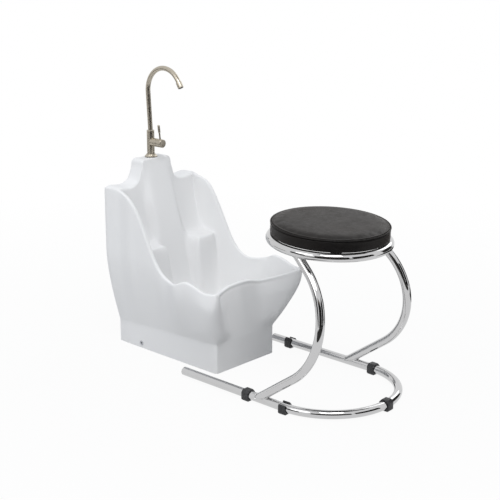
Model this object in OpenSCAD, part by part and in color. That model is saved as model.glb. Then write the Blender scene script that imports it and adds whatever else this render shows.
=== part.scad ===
// Pedicure foot basin with a gooseneck tap, and the round cantilever stool that stands over its front.
// Millimetres. X is across the basin, Y runs from the stool towards the back of the basin, Z is up.
// The origin is on the floor, in the middle of the whole set.

/* [Basin plinth] */
// Width of the straight-sided plinth
plinth_w = 254; // [230:1:280]
// Y of the plinth's front face
plinth_front_y = 53; // [45:1:65]
// Y of the basin's flat back
basin_back_y = 487; // [475:1:500]
// Height of the plinth where the sides start to flare, at the back
kick_back_h = 71; // [60:1:85]
// Height of the plinth where the sides start to flare, at the front
kick_front_h = 92; // [80:1:100]
// Wall of the hollow plinth
china_wall = 12; // [9:0.5:16]
// Width of the pipe opening at the foot of the back
pipe_gap_w = 130; // [90:1:160]
// Height of the pipe opening at the foot of the back
pipe_gap_h = 95; // [60:1:98]

/* [Basin rim] */
// Height of the tap deck
deck_h = 585; // [570:1:600]
// Half the width of the flat tap deck
deck_half_w = 53; // [48:0.5:56]
// Depth of the tap deck, front to back
deck_depth = 51; // [48:0.5:56]
// Height of the two shoulders beside the deck
shoulder_h = 513; // [500:1:525]
// Half the width across the shoulders
shoulder_half_w = 174; // [168:1:180]
// Half the width across the hips, where the rim is widest
hip_half_w = 203; // [196:1:206]
// Height of the rim at the hips
hip_h = 291; // [280:1:300]
// Height of the rim at the two front horns
horn_h = 278; // [268:1:286]
// Y of the tips of the front horns
horn_y = -9; // [-18:1:2]
// Height of the rim in the two calf rests
calf_h = 240; // [232:1:248]
// Thickness of the rolled rim
lip_w = 12; // [10:0.5:15]

/* [Basin bowl] */
// Height of the bowl's floor
floor_h = 122; // [120:0.5:130]
// Y of the drain
drain_y = 185; // [170:1:200]
// Radius of the flat floor round the drain
floor_r = 42; // [40:1:50]
// Height of the two heel ledges
ledge_h = 336; // [320:1:350]
// Y of the front edge of the heel ledges
ledge_front_y = 318; // [312:1:326]
// Y of the back of the heel ledges
ledge_back_y = 374; // [368:1:380]
// Half the width of the central column below the deck
column_half_w = 56; // [50:1:62]

/* [Drain] */
// Outside radius of the drain flange
flange_r = 34; // [31:0.5:36]
// Radius of the drain's threaded body
drain_body_r = 22; // [20:0.5:23]
// Radius of the tail pipe
tail_r = 16; // [14:0.5:17]
// Height of the tail pipe's open end above the floor
tail_end_h = 14; // [10:1:20]
// How far the drain plug lifts
plug_lift = 9; // [6:0.5:12]

/* [Tap] */
// Distance of the tap's axis from the back of the basin
tap_setback = 26; // [24:0.5:28]
// Radius of the tap body
tap_r = 12; // [11:0.25:13]
// Height of the tap body above its seat on the flange
tap_body_h = 81; // [76:0.5:90]
// Radius of the tap flange
tap_flange_r = 20; // [18:0.5:22]
// Outside radius of the threaded shank, G 3/8
shank_r = 8.33; // [8:0.01:8.5]
// Radius of the valve barrel
barrel_r = 13; // [12:0.25:14]
// Height of the barrel's axis above the deck
barrel_rise = 48; // [46:0.5:52]
// Length of the fixed part of the barrel
housing_len = 21; // [19:0.5:24]
// Length of the turning hub
hub_len = 21.5; // [20:0.5:24]
// Length of the lever above the hub
lever_len = 44; // [38:1:50]
// Lean of the lever towards the tap body, in degrees
lever_lean = 8; // [0:1:12]

/* [Spout] */
// Radius of the spout tube
spout_r = 7.5; // [7:0.1:7.8]
// Wall of the spout tube
spout_wall = 1.2; // [1:0.1:1.6]
// Backward lean of the riser, in degrees
riser_lean = 3.5; // [0:0.5:5]
// Length of the straight riser
riser_len = 116; // [90:0.5:150]
// Radius of the gooseneck's bend
neck_r = 73.7; // [60:0.1:85]
// Angle that the gooseneck turns through
neck_turn = 152; // [140:1:165]
// Radius of the aerator housing
aerator_r = 9; // [8.6:0.1:10]
// Length of the aerator housing
aerator_len = 19; // [16:0.5:24]

/* [Stool frame] */
// Outside radius of the frame's tube
tube_r = 12.5; // [11:0.25:14]
// Wall of the frame's tube
tube_wall = 1.5; // [1.2:0.1:2]
// Half the distance between the two floor rails
rail_half = 200; // [192:1:210]
// Y of the rails' open ends
rail_end_y = 112; // [90:1:130]
// Y where the rails run into the round front
bend_y = -271; // [-280:1:-255]
// Y where the legs stand on the rails
leg_foot_y = -183; // [-195:1:-170]
// Rise of the legs' lower straight, in degrees
leg_rise = 35.7; // [33:0.1:38]
// Length of the legs' lower straight
leg_run = 163; // [155:1:170]
// Radius of the legs' bend
leg_bend_r = 188; // [182:1:194]
// Angle that the legs turn through
leg_turn = 107; // [104:1:110]
// How far the legs lean in, in degrees
leg_lean = 7.4; // [6:0.1:8.5]
// How far the legs splay outwards, in degrees
leg_splay = 7.3; // [6:0.1:8.5]

/* [Seat] */
// Radius of the seat ring's centre line
ring_r = 166; // [162:1:170]
// Height of the seat ring's centre
ring_h = 453; // [446:1:458]
// Y of the seat ring's centre
ring_y = -266; // [-272:1:-260]
// Backward tilt of the seat, in degrees
seat_tilt = 2.9; // [0:0.1:3.5]
// Radius of the cushion
cushion_r = 168; // [160:1:174]
// Height of the cushion's seam above its underside
seam_rise = 33; // [30:0.5:38]
// Height of the cushion's middle above its underside
crown_rise = 41.5; // [39:0.5:46]
// Thickness of the plywood seat board
board_t = 12; // [9:0.5:15]
// Thickness of the leatherette cover
cover_t = 1.2; // [1:0.1:1.6]

/* [Foot clips] */
// Thickness of a clip's wall beside the tube
clip_wall = 3.5; // [3:0.1:5]
// Thickness of a clip's foot under the tube
clip_foot = 4; // [3:0.1:6]
// Length of a clip along its tube
clip_len = 24; // [18:1:30]

/* [Hidden] */
$fn = 64;

china = "white";
steel = "silver";
gap = 0.05;          // running clearance on a radius
eps = 0.01;
overcut = 1;

// ---------- basin ----------
// One half of the rim, from the middle of the back round to the middle of the front.
horn_x = hip_half_w - 16;
rim_half = [
    [0, basin_back_y, deck_h],
    [deck_half_w, basin_back_y, deck_h - 1],
    [deck_half_w + 10, basin_back_y, (deck_h + shoulder_h) / 2 + 8],
    [deck_half_w + 27, basin_back_y, shoulder_h + 12],
    [deck_half_w + 59, basin_back_y, shoulder_h],
    [shoulder_half_w - 20, basin_back_y, shoulder_h + 3],
    [shoulder_half_w + 2, basin_back_y - 6, shoulder_h - 1],
    [shoulder_half_w - 1, basin_back_y - 41, shoulder_h + 1],
    [shoulder_half_w - 4, basin_back_y - 67, shoulder_h - 5],
    [shoulder_half_w, basin_back_y - 109, shoulder_h - 22],
    [shoulder_half_w - 2, basin_back_y - 144, shoulder_h - 61],
    [shoulder_half_w - 1, basin_back_y - 187, shoulder_h - 138],
    [shoulder_half_w, basin_back_y - 218, hip_h + 29],
    [shoulder_half_w + 2, basin_back_y - 251, hip_h - 6],
    [hip_half_w - 21, basin_back_y - 288, hip_h - 20],
    [hip_half_w, basin_back_y - 335, hip_h - 15],
    [hip_half_w - 2, horn_y + 120, hip_h + 1],
    [hip_half_w - 2, horn_y + 81, hip_h - 5],
    [hip_half_w - 4, horn_y + 46, horn_h - 3],
    [horn_x + 7, horn_y + 16, horn_h - 4],
    [horn_x, horn_y, horn_h],
    [horn_x - 15, horn_y + 2, horn_h - 6],
    [horn_x - 42, horn_y + 29, calf_h + 20],
    [horn_x - 73, horn_y + 60, calf_h + 8],
    [horn_x - 106, horn_y + 82, calf_h + 3],
    [horn_x - 145, horn_y + 87, calf_h + 11],
    [0, horn_y + 83, calf_h + 15]
];
LAST = len(rim_half) - 1;
BACK_CORNER = 6;     // index of the rim point at the back corner
HORN = 20;           // index of the rim point at the horn's tip
RING = 2 * LAST;     // points round the whole rim
FINE = 2;            // steps between two rim points
AROUND = RING * FINE;

function wrap(i, n) = (i % n + n) % n;
function mirrored(half, i) =
    let(k = wrap(i, 2 * (len(half) - 1)), n = len(half) - 1)
    k <= n ? half[k] : [-half[2 * n - k][0], half[2 * n - k][1], half[2 * n - k][2]];
function spline(a, b, c, d, t) =
    0.5 * (2 * b + (c - a) * t + (2 * a - 5 * b + 4 * c - d) * t * t + (3 * b - a - 3 * c + d) * t * t * t);
function along(half, j) =
    let(i = floor(j / FINE), t = (j - i * FINE) / FINE)
    spline(mirrored(half, i - 1), mirrored(half, i), mirrored(half, i + 1), mirrored(half, i + 2), t);
function ease(t) = let(s = min(1, max(0, t))) s * s * (3 - 2 * s);
function mix(a, b, t) = a + (b - a) * t;
function unit2(v) = v / max(norm(v), eps);

// The plinth's outline, point for point with the rim: back edge, corner, side, corner, front edge.
corner_r = 9;
corner_in = corner_r * (1 - cos(45));
plinth_x = plinth_w / 2;
function foot_point(i) =
    i < BACK_CORNER
        ? [rim_half[i][0] / rim_half[BACK_CORNER - 1][0] * (plinth_x - corner_r), basin_back_y, 0]
    : i == BACK_CORNER
        ? [plinth_x - corner_in, basin_back_y - corner_in, 0]
    : i < HORN
        ? let(start = rim_half[BACK_CORNER + 1][1], end = rim_half[HORN - 1][1],
              t = (rim_half[i][1] - start) / (end - start))
          [plinth_x, mix(basin_back_y - 32, plinth_front_y + corner_r + 4, t), 0]
    : i == HORN
        ? [plinth_x - corner_in, plinth_front_y + corner_in, 0]
        : [rim_half[i][0] / rim_half[HORN + 1][0] * (plinth_x - corner_r), plinth_front_y, 0];
foot_half = [for (i = [0:LAST]) foot_point(i)];

function against_wall(p) = [p[0], min(p[1], basin_back_y), min(p[2], deck_h)];
rim = [for (j = [0:AROUND - 1]) against_wall(along(rim_half, j))];
foot = [for (j = [0:AROUND - 1]) against_wall(along(foot_half, j))];
// Above the plinth the two front corners are round. Each point goes to a bell-weighted mean of its
// neighbours, and is moved out again near the corner, so that the corner's own point stays.
TIPS = [HORN * FINE, AROUND - HORN * FINE];
corner_reach = 75;
function bell(d, spread) = exp(-0.5 * pow(d / spread, 2));
function near_mean(loop, j, spread) =
    let(ks = [-3 * spread:3 * spread], share = [for (k = ks) bell(k, spread)])
    share * [for (k = ks) loop[wrap(j + k, AROUND)]] / (share * [for (k = ks) 1]);
function round_fronts(loop, spread) =
    let(lost = [for (tip = TIPS) loop[tip] - near_mean(loop, tip, spread)])
    [for (j = [0:AROUND - 1])
        let(apart = [for (tip = TIPS) rim[j] - rim[tip]],
            near = [for (d = apart) bell(norm([d[0], d[1]]), corner_reach)])
        mix(loop[j], near_mean(loop, j, spread), near[0] + near[1]) + near * lost];
soft_foot = round_fronts(foot, 6);
soft_rim = round_fronts(rim, 3);
// Unit vector in plan from the rim towards the inside of the bowl.
inward = [for (j = [0:AROUND - 1])
    let(a = rim[wrap(j - 1, AROUND)], b = rim[wrap(j + 1, AROUND)]) unit2([b[1] - a[1], a[0] - b[0]])];
// The deck and the shoulders lie along the back: share is 1 there, and 0 from the front of that zone.
column_top_y = basin_back_y - deck_depth;
shoulder_zone = 67;
function shoulder_share(p) = max(0, 1 - (basin_back_y - p[1]) / shoulder_zone);
// Plan of the rim's inner edge. Along the sides it lies the lip's width in from the outer edge,
// and at the back it follows the front of the deck and the shoulders, with a round corner between.
function edge_in(j) =
    let(p = rim[j], side = [p[0], p[1]] + inward[j] * lip_w, s = shoulder_share(p),
        back_x = p[0] * (1 - 0.12 * pow(abs(p[0]) / shoulder_half_w, 3)))
    s <= 0 ? side
    : [mix(side[0], back_x, ease((p[1] - basin_back_y + 41) / 35)),
       mix(column_top_y, side[1], pow(1 - s, 1.6))];
rim_in = [for (j = [0:AROUND - 1]) edge_in(j)];
rim_width = [for (j = [0:AROUND - 1]) norm(rim_in[j] - [rim[j][0], rim[j][1]])];
// The shoulders fall towards their front edge, the deck is level.
shoulder_fall = 8;
rim_fall = [for (p = rim) shoulder_fall * min(1, 1.4 * shoulder_share(p)) * ease((deck_h - 30 - p[2]) / 30)];
edge_r = 0.45 * lip_w;

function kick_h(p) = mix(kick_back_h, kick_front_h, (basin_back_y - p[1]) / (basin_back_y - plinth_front_y));
// Share of the way from the plinth out to the rim, at share v of the height above the kick.
flare_end_h = 310;
belly = 0.055;       // how far the sides swell beyond the rim, as a share of the flare
function flare(v, p, r) =
    let(k = kick_h(p), full = min(1, (flare_end_h - k) / (r[2] - k)), w = min(1, v / full),
        swell = belly * mix(0.3, 1, ease((flare_end_h + 30 - r[2]) / 60)))
    1 - pow(1 - w, 1.5) + swell * sin(180 * v * v);
function outer_point(j, v) =
    let(low = mix(foot[j], soft_foot[j], ease(v / 0.3)), high = mix(rim[j], soft_rim[j], ease((1 - v) / 0.3)),
        plan = mix(low, high, flare(v, foot[j], rim[j])))
    [plan[0], plan[1], mix(kick_h(foot[j]), rim[j][2] - edge_r, v)];
// A point on the rolled rim, s millimetres in from its outer edge.
function lip_point(j, s) =
    let(w = rim_width[j], d = min(s, w - s), up = edge_r * sqrt(1 - pow(max(0, 1 - d / edge_r), 2)),
        t = s / w)
    [mix(rim[j][0], rim_in[j][0], t), mix(rim[j][1], rim_in[j][1], t),
     rim[j][2] - edge_r + up - rim_fall[j] * t];

// Heights of the bowl's back along Y: the central column below the deck, and the channel beside it
// with the heel ledge at its foot.
column_slope = 3.63;
column_knee = 100;
knee_h = deck_h - 2 - column_slope * column_knee;
function column_z(y) =
    let(t = column_top_y - y)
    t < column_knee ? deck_h - 2 - column_slope * t
    : floor_h + (knee_h - floor_h) * pow(max(0, 1 - (t - column_knee) / 110), 2.6);
ledge_slope = 4;
ledge_drop_len = 105;
function channel_z(y) =
    let(t = (column_top_y - y) / (column_top_y - ledge_back_y),
        s = (y - ledge_front_y) / (ledge_back_y - ledge_front_y))
    s > 1 ? mix(shoulder_h - 16, ledge_h + ledge_slope / 2, 1 - pow(1 - max(0, t), 1.7))
    : s > 0 ? ledge_h + ledge_slope * (s - 0.5)
    : floor_h + (ledge_h - ledge_slope / 2 - floor_h)
        * pow(max(0, 1 - (ledge_front_y - y) / ledge_drop_len), 6);
column_side = 28;    // width over which the column's side falls into the channel
function back_z(x, y) =
    mix(column_z(y), channel_z(y), ease((abs(x) - column_half_w + column_side / 2) / column_side));
// The bowl's own wall falls steeply from the rim and runs out on the floor halfway in.
floor_fall = 6;
function wall_z(z0, g) =
    floor_h + floor_fall * (1 - g) + (z0 - floor_h - floor_fall) * pow(max(0, 1 - 2 * g), 2.6);

// Way round the inner rim, measured along it, so that the round floor is met in step.
rim_steps = [for (j = [0:AROUND - 1]) norm(rim_in[wrap(j + 1, AROUND)] - rim_in[j])];
rim_run = [for (j = 0, run = 0; j <= AROUND; run = run + rim_steps[wrap(j, AROUND)], j = j + 1) run];
function floor_point(j) =
    let(a = 90 - 360 * rim_run[j] / rim_run[AROUND]) [floor_r * cos(a), drain_y + floor_r * sin(a)];
// Share of the way in at which a line of points crosses the heel ledge's front edge.
edge_step = 0.54;
least_cross = 0.2;
function cross_at(a, b) =
    a[1] > ledge_front_y ? max(least_cross, (a[1] - ledge_front_y) / (a[1] - b[1])) : least_cross;
function bowl_point(j, step) =
    let(a = rim_in[j], b = floor_point(j), c = cross_at(a, b),
        g = step < edge_step ? c * step / edge_step : mix(c, 1, (step - edge_step) / (1 - edge_step)),
        x = mix(a[0], b[0], g), y = mix(a[1], b[1], g),
        top = rim[j][2] - edge_r - rim_fall[j])
    [x, y, g >= 1 ? floor_h : min(top, max(wall_z(top, g), back_z(x, y)))];

flare_steps = [0, 0.07, 0.15, 0.24, 0.34, 0.46, 0.6, 0.75, 0.9, 1];
bowl_steps = [0.012, 0.03, 0.06, 0.1, 0.15, 0.21, 0.27, 0.33, 0.39, 0.45, 0.5, edge_step,
              0.57, 0.61, 0.67, 0.76, 0.88, 1];
function lip_steps(w) = [1.2, 3, edge_r, w / 2, w - edge_r, w - 3, w - 1.2, w];
kick_below = 9;
basin_rings = concat(
    [foot],
    [[for (p = foot) [p[0], p[1], kick_h(p) - kick_below]]],
    [for (v = flare_steps) [for (j = [0:AROUND - 1]) outer_point(j, v)]],
    [for (k = [0:7]) [for (j = [0:AROUND - 1]) lip_point(j, lip_steps(rim_width[j])[k])]],
    [for (g = bowl_steps) [for (j = [0:AROUND - 1]) bowl_point(j, g)]]
);

// A closed solid through rings of points, with flat ends that fan out from a middle point each.
module rings_solid(rings, first_middle, last_middle) {
    n = len(rings[0]);
    last = len(rings) - 1;
    middle = (last + 1) * n;
    points = concat([for (r = rings) each r], [first_middle, last_middle]);
    sides = [for (k = [0:last - 1], j = [0:n - 1], half = [0, 1])
        let(a = k * n + j, b = k * n + (j + 1) % n, c = a + n, d = b + n)
        half == 0 ? [a, b, d] : [a, d, c]];
    ends = [for (j = [0:n - 1], side = [0, 1])
        let(next = (j + 1) % n) side == 0 ? [middle, next, j] : [middle + 1, last * n + j, last * n + next]];
    polyhedron(points, concat(sides, ends), convexity = 10);
}
module slab(x, y0, y1, z0, z1) translate([-x, y0, z0]) cube([2 * x, y1 - y0, z1 - z0]);

tap_y = basin_back_y - tap_setback;
drain_clear = 1;     // play between the drain's body and the hole in the floor
seat_drop = 3;       // depth of the recess that the drain flange lies in
under_floor = floor_h - 16;
deck_wall = 12;
tap_hole_r = 11;
chamber_half_w = 44;
chamber_end = 10;    // china left before and behind the hollow under the deck
side_screw_y = 383;
side_screw_h = 16;
side_hole_r = 5.5;
pipe_gap_r = 12;

// The hollow under the bowl, behind the ledges and inside the deck's pedestal.
module china_hollow() {
    w = china_wall;
    back = basin_back_y - w;
    chamber_h = shoulder_h - 33;
    slab(plinth_x - w, plinth_front_y + w, back, -overcut, under_floor);
    translate([w + 2 - plinth_x, 0, 0]) rotate([90, 0, 90]) linear_extrude(plinth_w - 2 * w - 4)
        polygon([[ledge_front_y - 18, under_floor - eps], [back, under_floor - eps], [back, chamber_h],
                 [column_top_y + 19, chamber_h], [ledge_back_y + 20, ledge_h - 14],
                 [ledge_back_y - 10, ledge_h - 96], [ledge_back_y - 36, ledge_h - 170]]);
    slab(chamber_half_w, column_top_y + chamber_end, basin_back_y - chamber_end,
         chamber_h - 10, deck_h - deck_wall);
}

module pipe_gap() translate([0, basin_back_y + overcut, 0]) rotate([90, 0, 0])
    linear_extrude(china_wall + 2 * overcut) union() {
        translate([-pipe_gap_w / 2, -overcut]) square([pipe_gap_w, pipe_gap_h - pipe_gap_r + overcut]);
        translate([pipe_gap_r - pipe_gap_w / 2, 0]) square([pipe_gap_w - 2 * pipe_gap_r, pipe_gap_h]);
        for (s = [-1, 1]) translate([s * (pipe_gap_w / 2 - pipe_gap_r), pipe_gap_h - pipe_gap_r])
            circle(r = pipe_gap_r);
    }

module basin_shell() color(china) difference() {
    rings_solid(basin_rings, [0, (plinth_front_y + basin_back_y) / 2, 0], [0, drain_y, floor_h]);
    china_hollow();
    pipe_gap();
    translate([0, tap_y, deck_h - 2 * deck_wall]) cylinder(r = tap_hole_r, h = 3 * deck_wall);
    translate([0, drain_y, 0]) cylinder(r = drain_body_r + drain_clear, h = floor_h + 20);
    translate([0, drain_y, floor_h - seat_drop]) cylinder(r = flange_r + drain_clear, h = 20);
    both_sides() side_axis() translate([0, 0, -china_wall - overcut])
        cylinder(r = side_hole_r, h = china_wall + 2 * overcut);
}
module both_sides() {
    children();
    mirror([1, 0, 0]) children();
}
// Axis of a fixing screw: z runs outwards from the plinth's face, and x runs down.
module side_axis() translate([plinth_x, side_screw_y, side_screw_h]) rotate([0, 90, 0]) children();

// ---------- drain ----------
seal_t = 1.5;
flange_t = 3;
flange_z = floor_h - seat_drop + seal_t;
drain_bore_r = drain_body_r - 5;
plug_cup_r = drain_body_r - 2;
cup_depth = 6;
drain_body_end = 62;
gasket_t = 4;
locknut_t = 9;
tail_wall = 2;

module ring_at(z, r_out, r_in, h) translate([0, 0, z]) difference() {
    cylinder(r = r_out, h = h);
    translate([0, 0, -overcut]) cylinder(r = r_in, h = h + 2 * overcut);
}
module drain_axis() translate([0, drain_y, 0]) children();

module drain_flange() color(steel) drain_axis() difference() {
    union() {
        rotate_extrude() polygon([[0, flange_z], [flange_r, flange_z], [flange_r, flange_z + 0.8],
                                  [flange_r - 6, flange_z + flange_t], [0, flange_z + flange_t]]);
        translate([0, 0, drain_body_end]) cylinder(r = drain_body_r, h = flange_z - drain_body_end + eps);
    }
    translate([0, 0, flange_z - cup_depth]) cylinder(r = plug_cup_r, h = cup_depth + 2 * flange_t);
    translate([0, 0, drain_body_end - overcut]) cylinder(r = drain_bore_r, h = floor_h);
}
module flange_seal() color("dimgray") drain_axis()
    ring_at(flange_z - seal_t, flange_r - 1, drain_body_r + gap, seal_t);
module drain_gasket() color("black") drain_axis()
    ring_at(under_floor - gasket_t, drain_body_r + 11, drain_body_r + gap, gasket_t);
module drain_locknut() color("gainsboro") drain_axis() difference() {
    translate([0, 0, under_floor - gasket_t - locknut_t])
        cylinder(r = drain_body_r + 9, h = locknut_t, $fn = 8);
    translate([0, 0, drain_body_end]) cylinder(r = drain_body_r + gap, h = floor_h);
}
module drain_tailpiece() color("whitesmoke") drain_axis() difference() {
    union() {
        translate([0, 0, tail_end_h]) cylinder(r = tail_r, h = drain_body_end - tail_end_h);
        translate([0, 0, drain_body_end - 8]) cylinder(r = drain_body_r + 4, h = 20);
    }
    translate([0, 0, tail_end_h - overcut]) cylinder(r = tail_r - tail_wall, h = drain_body_end);
    translate([0, 0, drain_body_end]) cylinder(r = drain_body_r + gap, h = 20);
}
// The plug stands in the cup of the flange on its seal, guided by fins in the bore.
plug_r = plug_cup_r - 0.5;
plug_z = flange_z - cup_depth + 0.3;
plug_seal_t = 2.9;
fin_reach = drain_bore_r - 0.4;
stem_len = plug_lift + 13;
module drain_plug() color(steel) drain_axis() {
    translate([0, 0, plug_z]) rotate_extrude()
        polygon([[0, plug_seal_t], [plug_r - 0.5, plug_seal_t], [plug_r, plug_seal_t + 0.6],
                 [plug_r, plug_seal_t + 3], [plug_r - 3, plug_seal_t + 5.2], [0, plug_seal_t + 6.3]]);
    translate([0, 0, plug_z - stem_len]) cylinder(r = 4, h = stem_len + plug_seal_t + eps);
    for (a = [0, 60, 120]) rotate([0, 0, a]) translate([-fin_reach, -1, plug_z - stem_len + 2])
        cube([2 * fin_reach, 2, 12]);
}
module plug_seal() color("black") drain_axis() ring_at(plug_z, plug_r - 0.8, 4 + gap, plug_seal_t);

// ---------- fixing to the floor ----------
bracket_w = 34;
bracket_t = 3;
bracket_foot = 38;
bracket_rise = 32;
floor_bolt_r = 4;
screw_r = 2.5;
screw_head_r = 4;
screw_head_t = 3;
bush_base = 5;       // length of the bush's narrow inner end
bush_flange_t = 1.5;
module fixing_brackets() color("lightsteelblue") both_sides() side_axis()
    translate([0, 0, -china_wall]) difference() {
        union() {
            translate([side_screw_h - bracket_rise, -bracket_w / 2, -bracket_t])
                cube([bracket_rise, bracket_w, bracket_t]);
            translate([side_screw_h - bracket_t, -bracket_w / 2, -bracket_foot])
                cube([bracket_t, bracket_w, bracket_foot]);
        }
        translate([0, 0, -bracket_t - overcut]) cylinder(r = screw_r + gap, h = bracket_t + 2 * overcut);
        translate([side_screw_h - bracket_t - overcut, 0, -0.6 * bracket_foot]) rotate([0, 90, 0])
            cylinder(r = floor_bolt_r, h = bracket_t + 2 * overcut);
    }
module fixing_bushes() color(china) both_sides() side_axis() difference() {
    union() {
        translate([0, 0, -china_wall]) cylinder(r = side_hole_r - gap, h = china_wall + eps);
        cylinder(r = side_hole_r + 2, h = bush_flange_t);
    }
    translate([0, 0, -china_wall - overcut]) cylinder(r = screw_r + gap, h = 2 * china_wall);
    translate([0, 0, bush_base - china_wall]) cylinder(r = screw_head_r + 0.3, h = 2 * china_wall);
}
module side_screws() color("gray") both_sides() side_axis() translate([0, 0, bush_base - china_wall]) {
    cylinder(r = screw_head_r, h = screw_head_t);
    translate([0, 0, -bush_base - 12]) cylinder(r = screw_r, h = bush_base + 12 + eps);
}

// ---------- bent tubes ----------
// A station on a tube's centre line is [y, z, heading], in the tube's own upright plane.
function ahead(s, d) = [s[0] + d * cos(s[2]), s[1] + d * sin(s[2]), s[2]];
// The station after an arc; a positive turn is to the left.
function turned(s, r, turn) =
    let(q = sign(turn), a = s[2] + turn)
    [s[0] + q * r * (sin(a) - sin(s[2])), s[1] - q * r * (cos(a) - cos(s[2])), a];
function bend(s, r, turn, steps) = [for (k = [0:steps]) k == 0 ? s : turned(s, r, turn * k / steps)];
TUBE_SIDES = 28;
function tube_ring(s, r) = [for (j = [0:TUBE_SIDES - 1])
    let(a = 360 * j / TUBE_SIDES) [r * cos(a), s[0] - r * sin(a) * sin(s[2]), s[1] + r * sin(a) * cos(s[2])]];
module bent_tube(stations, r, wall) {
    last = len(stations) - 1;
    n = TUBE_SIDES;
    rings = concat([for (s = stations) tube_ring(s, r)],
                   [for (k = [last:-1:0]) tube_ring(stations[k], r - wall)]);
    count = len(rings);
    polyhedron([for (ring = rings) each ring],
        [for (k = [0:count - 1], j = [0:n - 1], half = [0, 1])
            let(a = k * n + j, b = k * n + (j + 1) % n, c = (a + n) % (count * n), d = (b + n) % (count * n))
            half == 0 ? [a, b, d] : [a, d, c]], convexity = 6);
}

// ---------- tap ----------
washer_t = 1.5;
flange_rise = 7.5;
ledge_t = 2;         // the flange's inner ledge, which the body stands on
body_z = deck_h + washer_t + ledge_t;
body_top = body_z + tap_body_h;
barrel_h = deck_h + barrel_rise;
barrel_mouth_y = tap_y - tap_r - 1 - housing_len;
shank_top = body_z + 20;
shank_len = 93;
shank_wall = 3.3;
passage_r = 5;
bush_len = 20;
spout_socket = spout_r + 1.5;
spout_foot = 25;     // how deep the spout stands in the body
module tap_axis() translate([0, tap_y, 0]) children();
// Axis of the barrel, with its own z running forwards from the tap's axis.
module barrel_axis() translate([0, tap_y, barrel_h]) rotate([90, 0, 0]) children();

module tap_gasket() color("dimgray") tap_axis() ring_at(deck_h, tap_flange_r - 0.5, tap_hole_r, washer_t);
module tap_flange() color(steel) tap_axis() difference() {
    translate([0, 0, deck_h + washer_t]) rotate_extrude()
        polygon([[0, 0], [tap_flange_r, 0], [tap_flange_r, 1.2], [tap_flange_r - 1.2, 2.8],
                 [tap_flange_r - 3.6, 4.6], [tap_r + 3, flange_rise], [0, flange_rise]]);
    translate([0, 0, deck_h]) cylinder(r = shank_r + gap, h = 20);
    translate([0, 0, body_z]) cylinder(r = tap_r + gap, h = 20);
}
housing_spigot_r = 7;
module tap_body() color(steel) difference() {
    tap_axis() translate([0, 0, body_z]) cylinder(r = tap_r, h = tap_body_h);
    tap_axis() translate([0, 0, body_z - overcut])
        cylinder(r = shank_r + gap, h = shank_top - body_z + overcut);
    tap_axis() translate([0, 0, body_z]) cylinder(r = passage_r, h = body_top - spout_foot - body_z);
    tap_axis() translate([0, 0, body_top - spout_foot - 5]) cylinder(r = spout_socket, h = 40);
    barrel_axis() translate([0, 0, passage_r]) cylinder(r = housing_spigot_r + gap, h = 20);
}
under_deck = deck_h - deck_wall;
under_washer_r = 14.5;
nut_af = 24;
nut_z = under_deck - 13.5;
relief_len = 2;      // groove at the end of the shank's upper thread, just below the nut
relief_depth = 0.6;
module tap_shank() color("darkgoldenrod") tap_axis() difference() {
    ring_at(shank_top - shank_len, shank_r, shank_r - shank_wall, shank_len);
    ring_at(nut_z - 1 - relief_len, shank_r + overcut, shank_r - relief_depth, relief_len);
}
module shank_washer() color("black") tap_axis() ring_at(under_deck - 2.5, under_washer_r, shank_r + gap, 2.5);
module shank_plate() color("silver") tap_axis() ring_at(under_deck - 4.5, under_washer_r, shank_r + gap, 2);
module shank_nut() color("darkgoldenrod") tap_axis() difference() {
    translate([0, 0, nut_z]) cylinder(r = nut_af / 2 / cos(30), h = 9, $fn = 6);
    translate([0, 0, nut_z - overcut]) cylinder(r = shank_r + gap, h = 12);
}

pocket_r = barrel_r - 3;
pocket_depth = 16;
mouth = tap_y - barrel_mouth_y;
stem_r = 3;
module valve_housing() color(steel) difference() {
    union() {
        difference() {
            barrel_axis() translate([0, 0, 7]) cylinder(r = barrel_r, h = mouth - 7);
            tap_axis() translate([0, 0, body_z]) cylinder(r = tap_r, h = tap_body_h);
        }
        barrel_axis() translate([0, 0, passage_r])
            cylinder(r = housing_spigot_r, h = mouth - pocket_depth - passage_r);
    }
    barrel_axis() translate([0, 0, mouth - pocket_depth]) cylinder(r = pocket_r, h = 30);
    barrel_axis() cylinder(r = passage_r - 1, h = 30);
}
cartridge_len = 14;
module valve_cartridge() color("goldenrod") barrel_axis() difference() {
    translate([0, 0, mouth - pocket_depth]) cylinder(r = pocket_r - gap, h = cartridge_len);
    translate([0, 0, mouth - pocket_depth + 5]) cylinder(r = stem_r + gap, h = 20);
}
nut_out = 3.5;       // how far the bonnet nut stands out of the housing
hub_clear = 0.5;
module bonnet_nut() color("goldenrod") barrel_axis() difference() {
    union() {
        translate([0, 0, mouth - pocket_depth + cartridge_len])
            cylinder(r = pocket_r - gap, h = pocket_depth - cartridge_len + eps);
        translate([0, 0, mouth]) cylinder(r = pocket_r + 1, h = nut_out, $fn = 6);
    }
    translate([0, 0, mouth - 10]) cylinder(r = stem_r + 0.3, h = 20);
}
hub_start = mouth + hub_clear;
skirt_depth = 5;
lever_at = hub_start + hub_len / 2;
lever_r = 2.65;
grip_r = 3.8;
lever_root = barrel_r - 6;
hub_screw_len = 8;
module cartridge_stem() color("gold") barrel_axis() translate([0, 0, mouth - pocket_depth + 5.5])
    cylinder(r = stem_r, h = lever_at + 4 - mouth + pocket_depth - 5.5);
module lever_axis() barrel_axis() translate([0, 0, lever_at])
    rotate([-90, 0, 0]) rotate([-lever_lean, 0, 0]) children();
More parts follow.
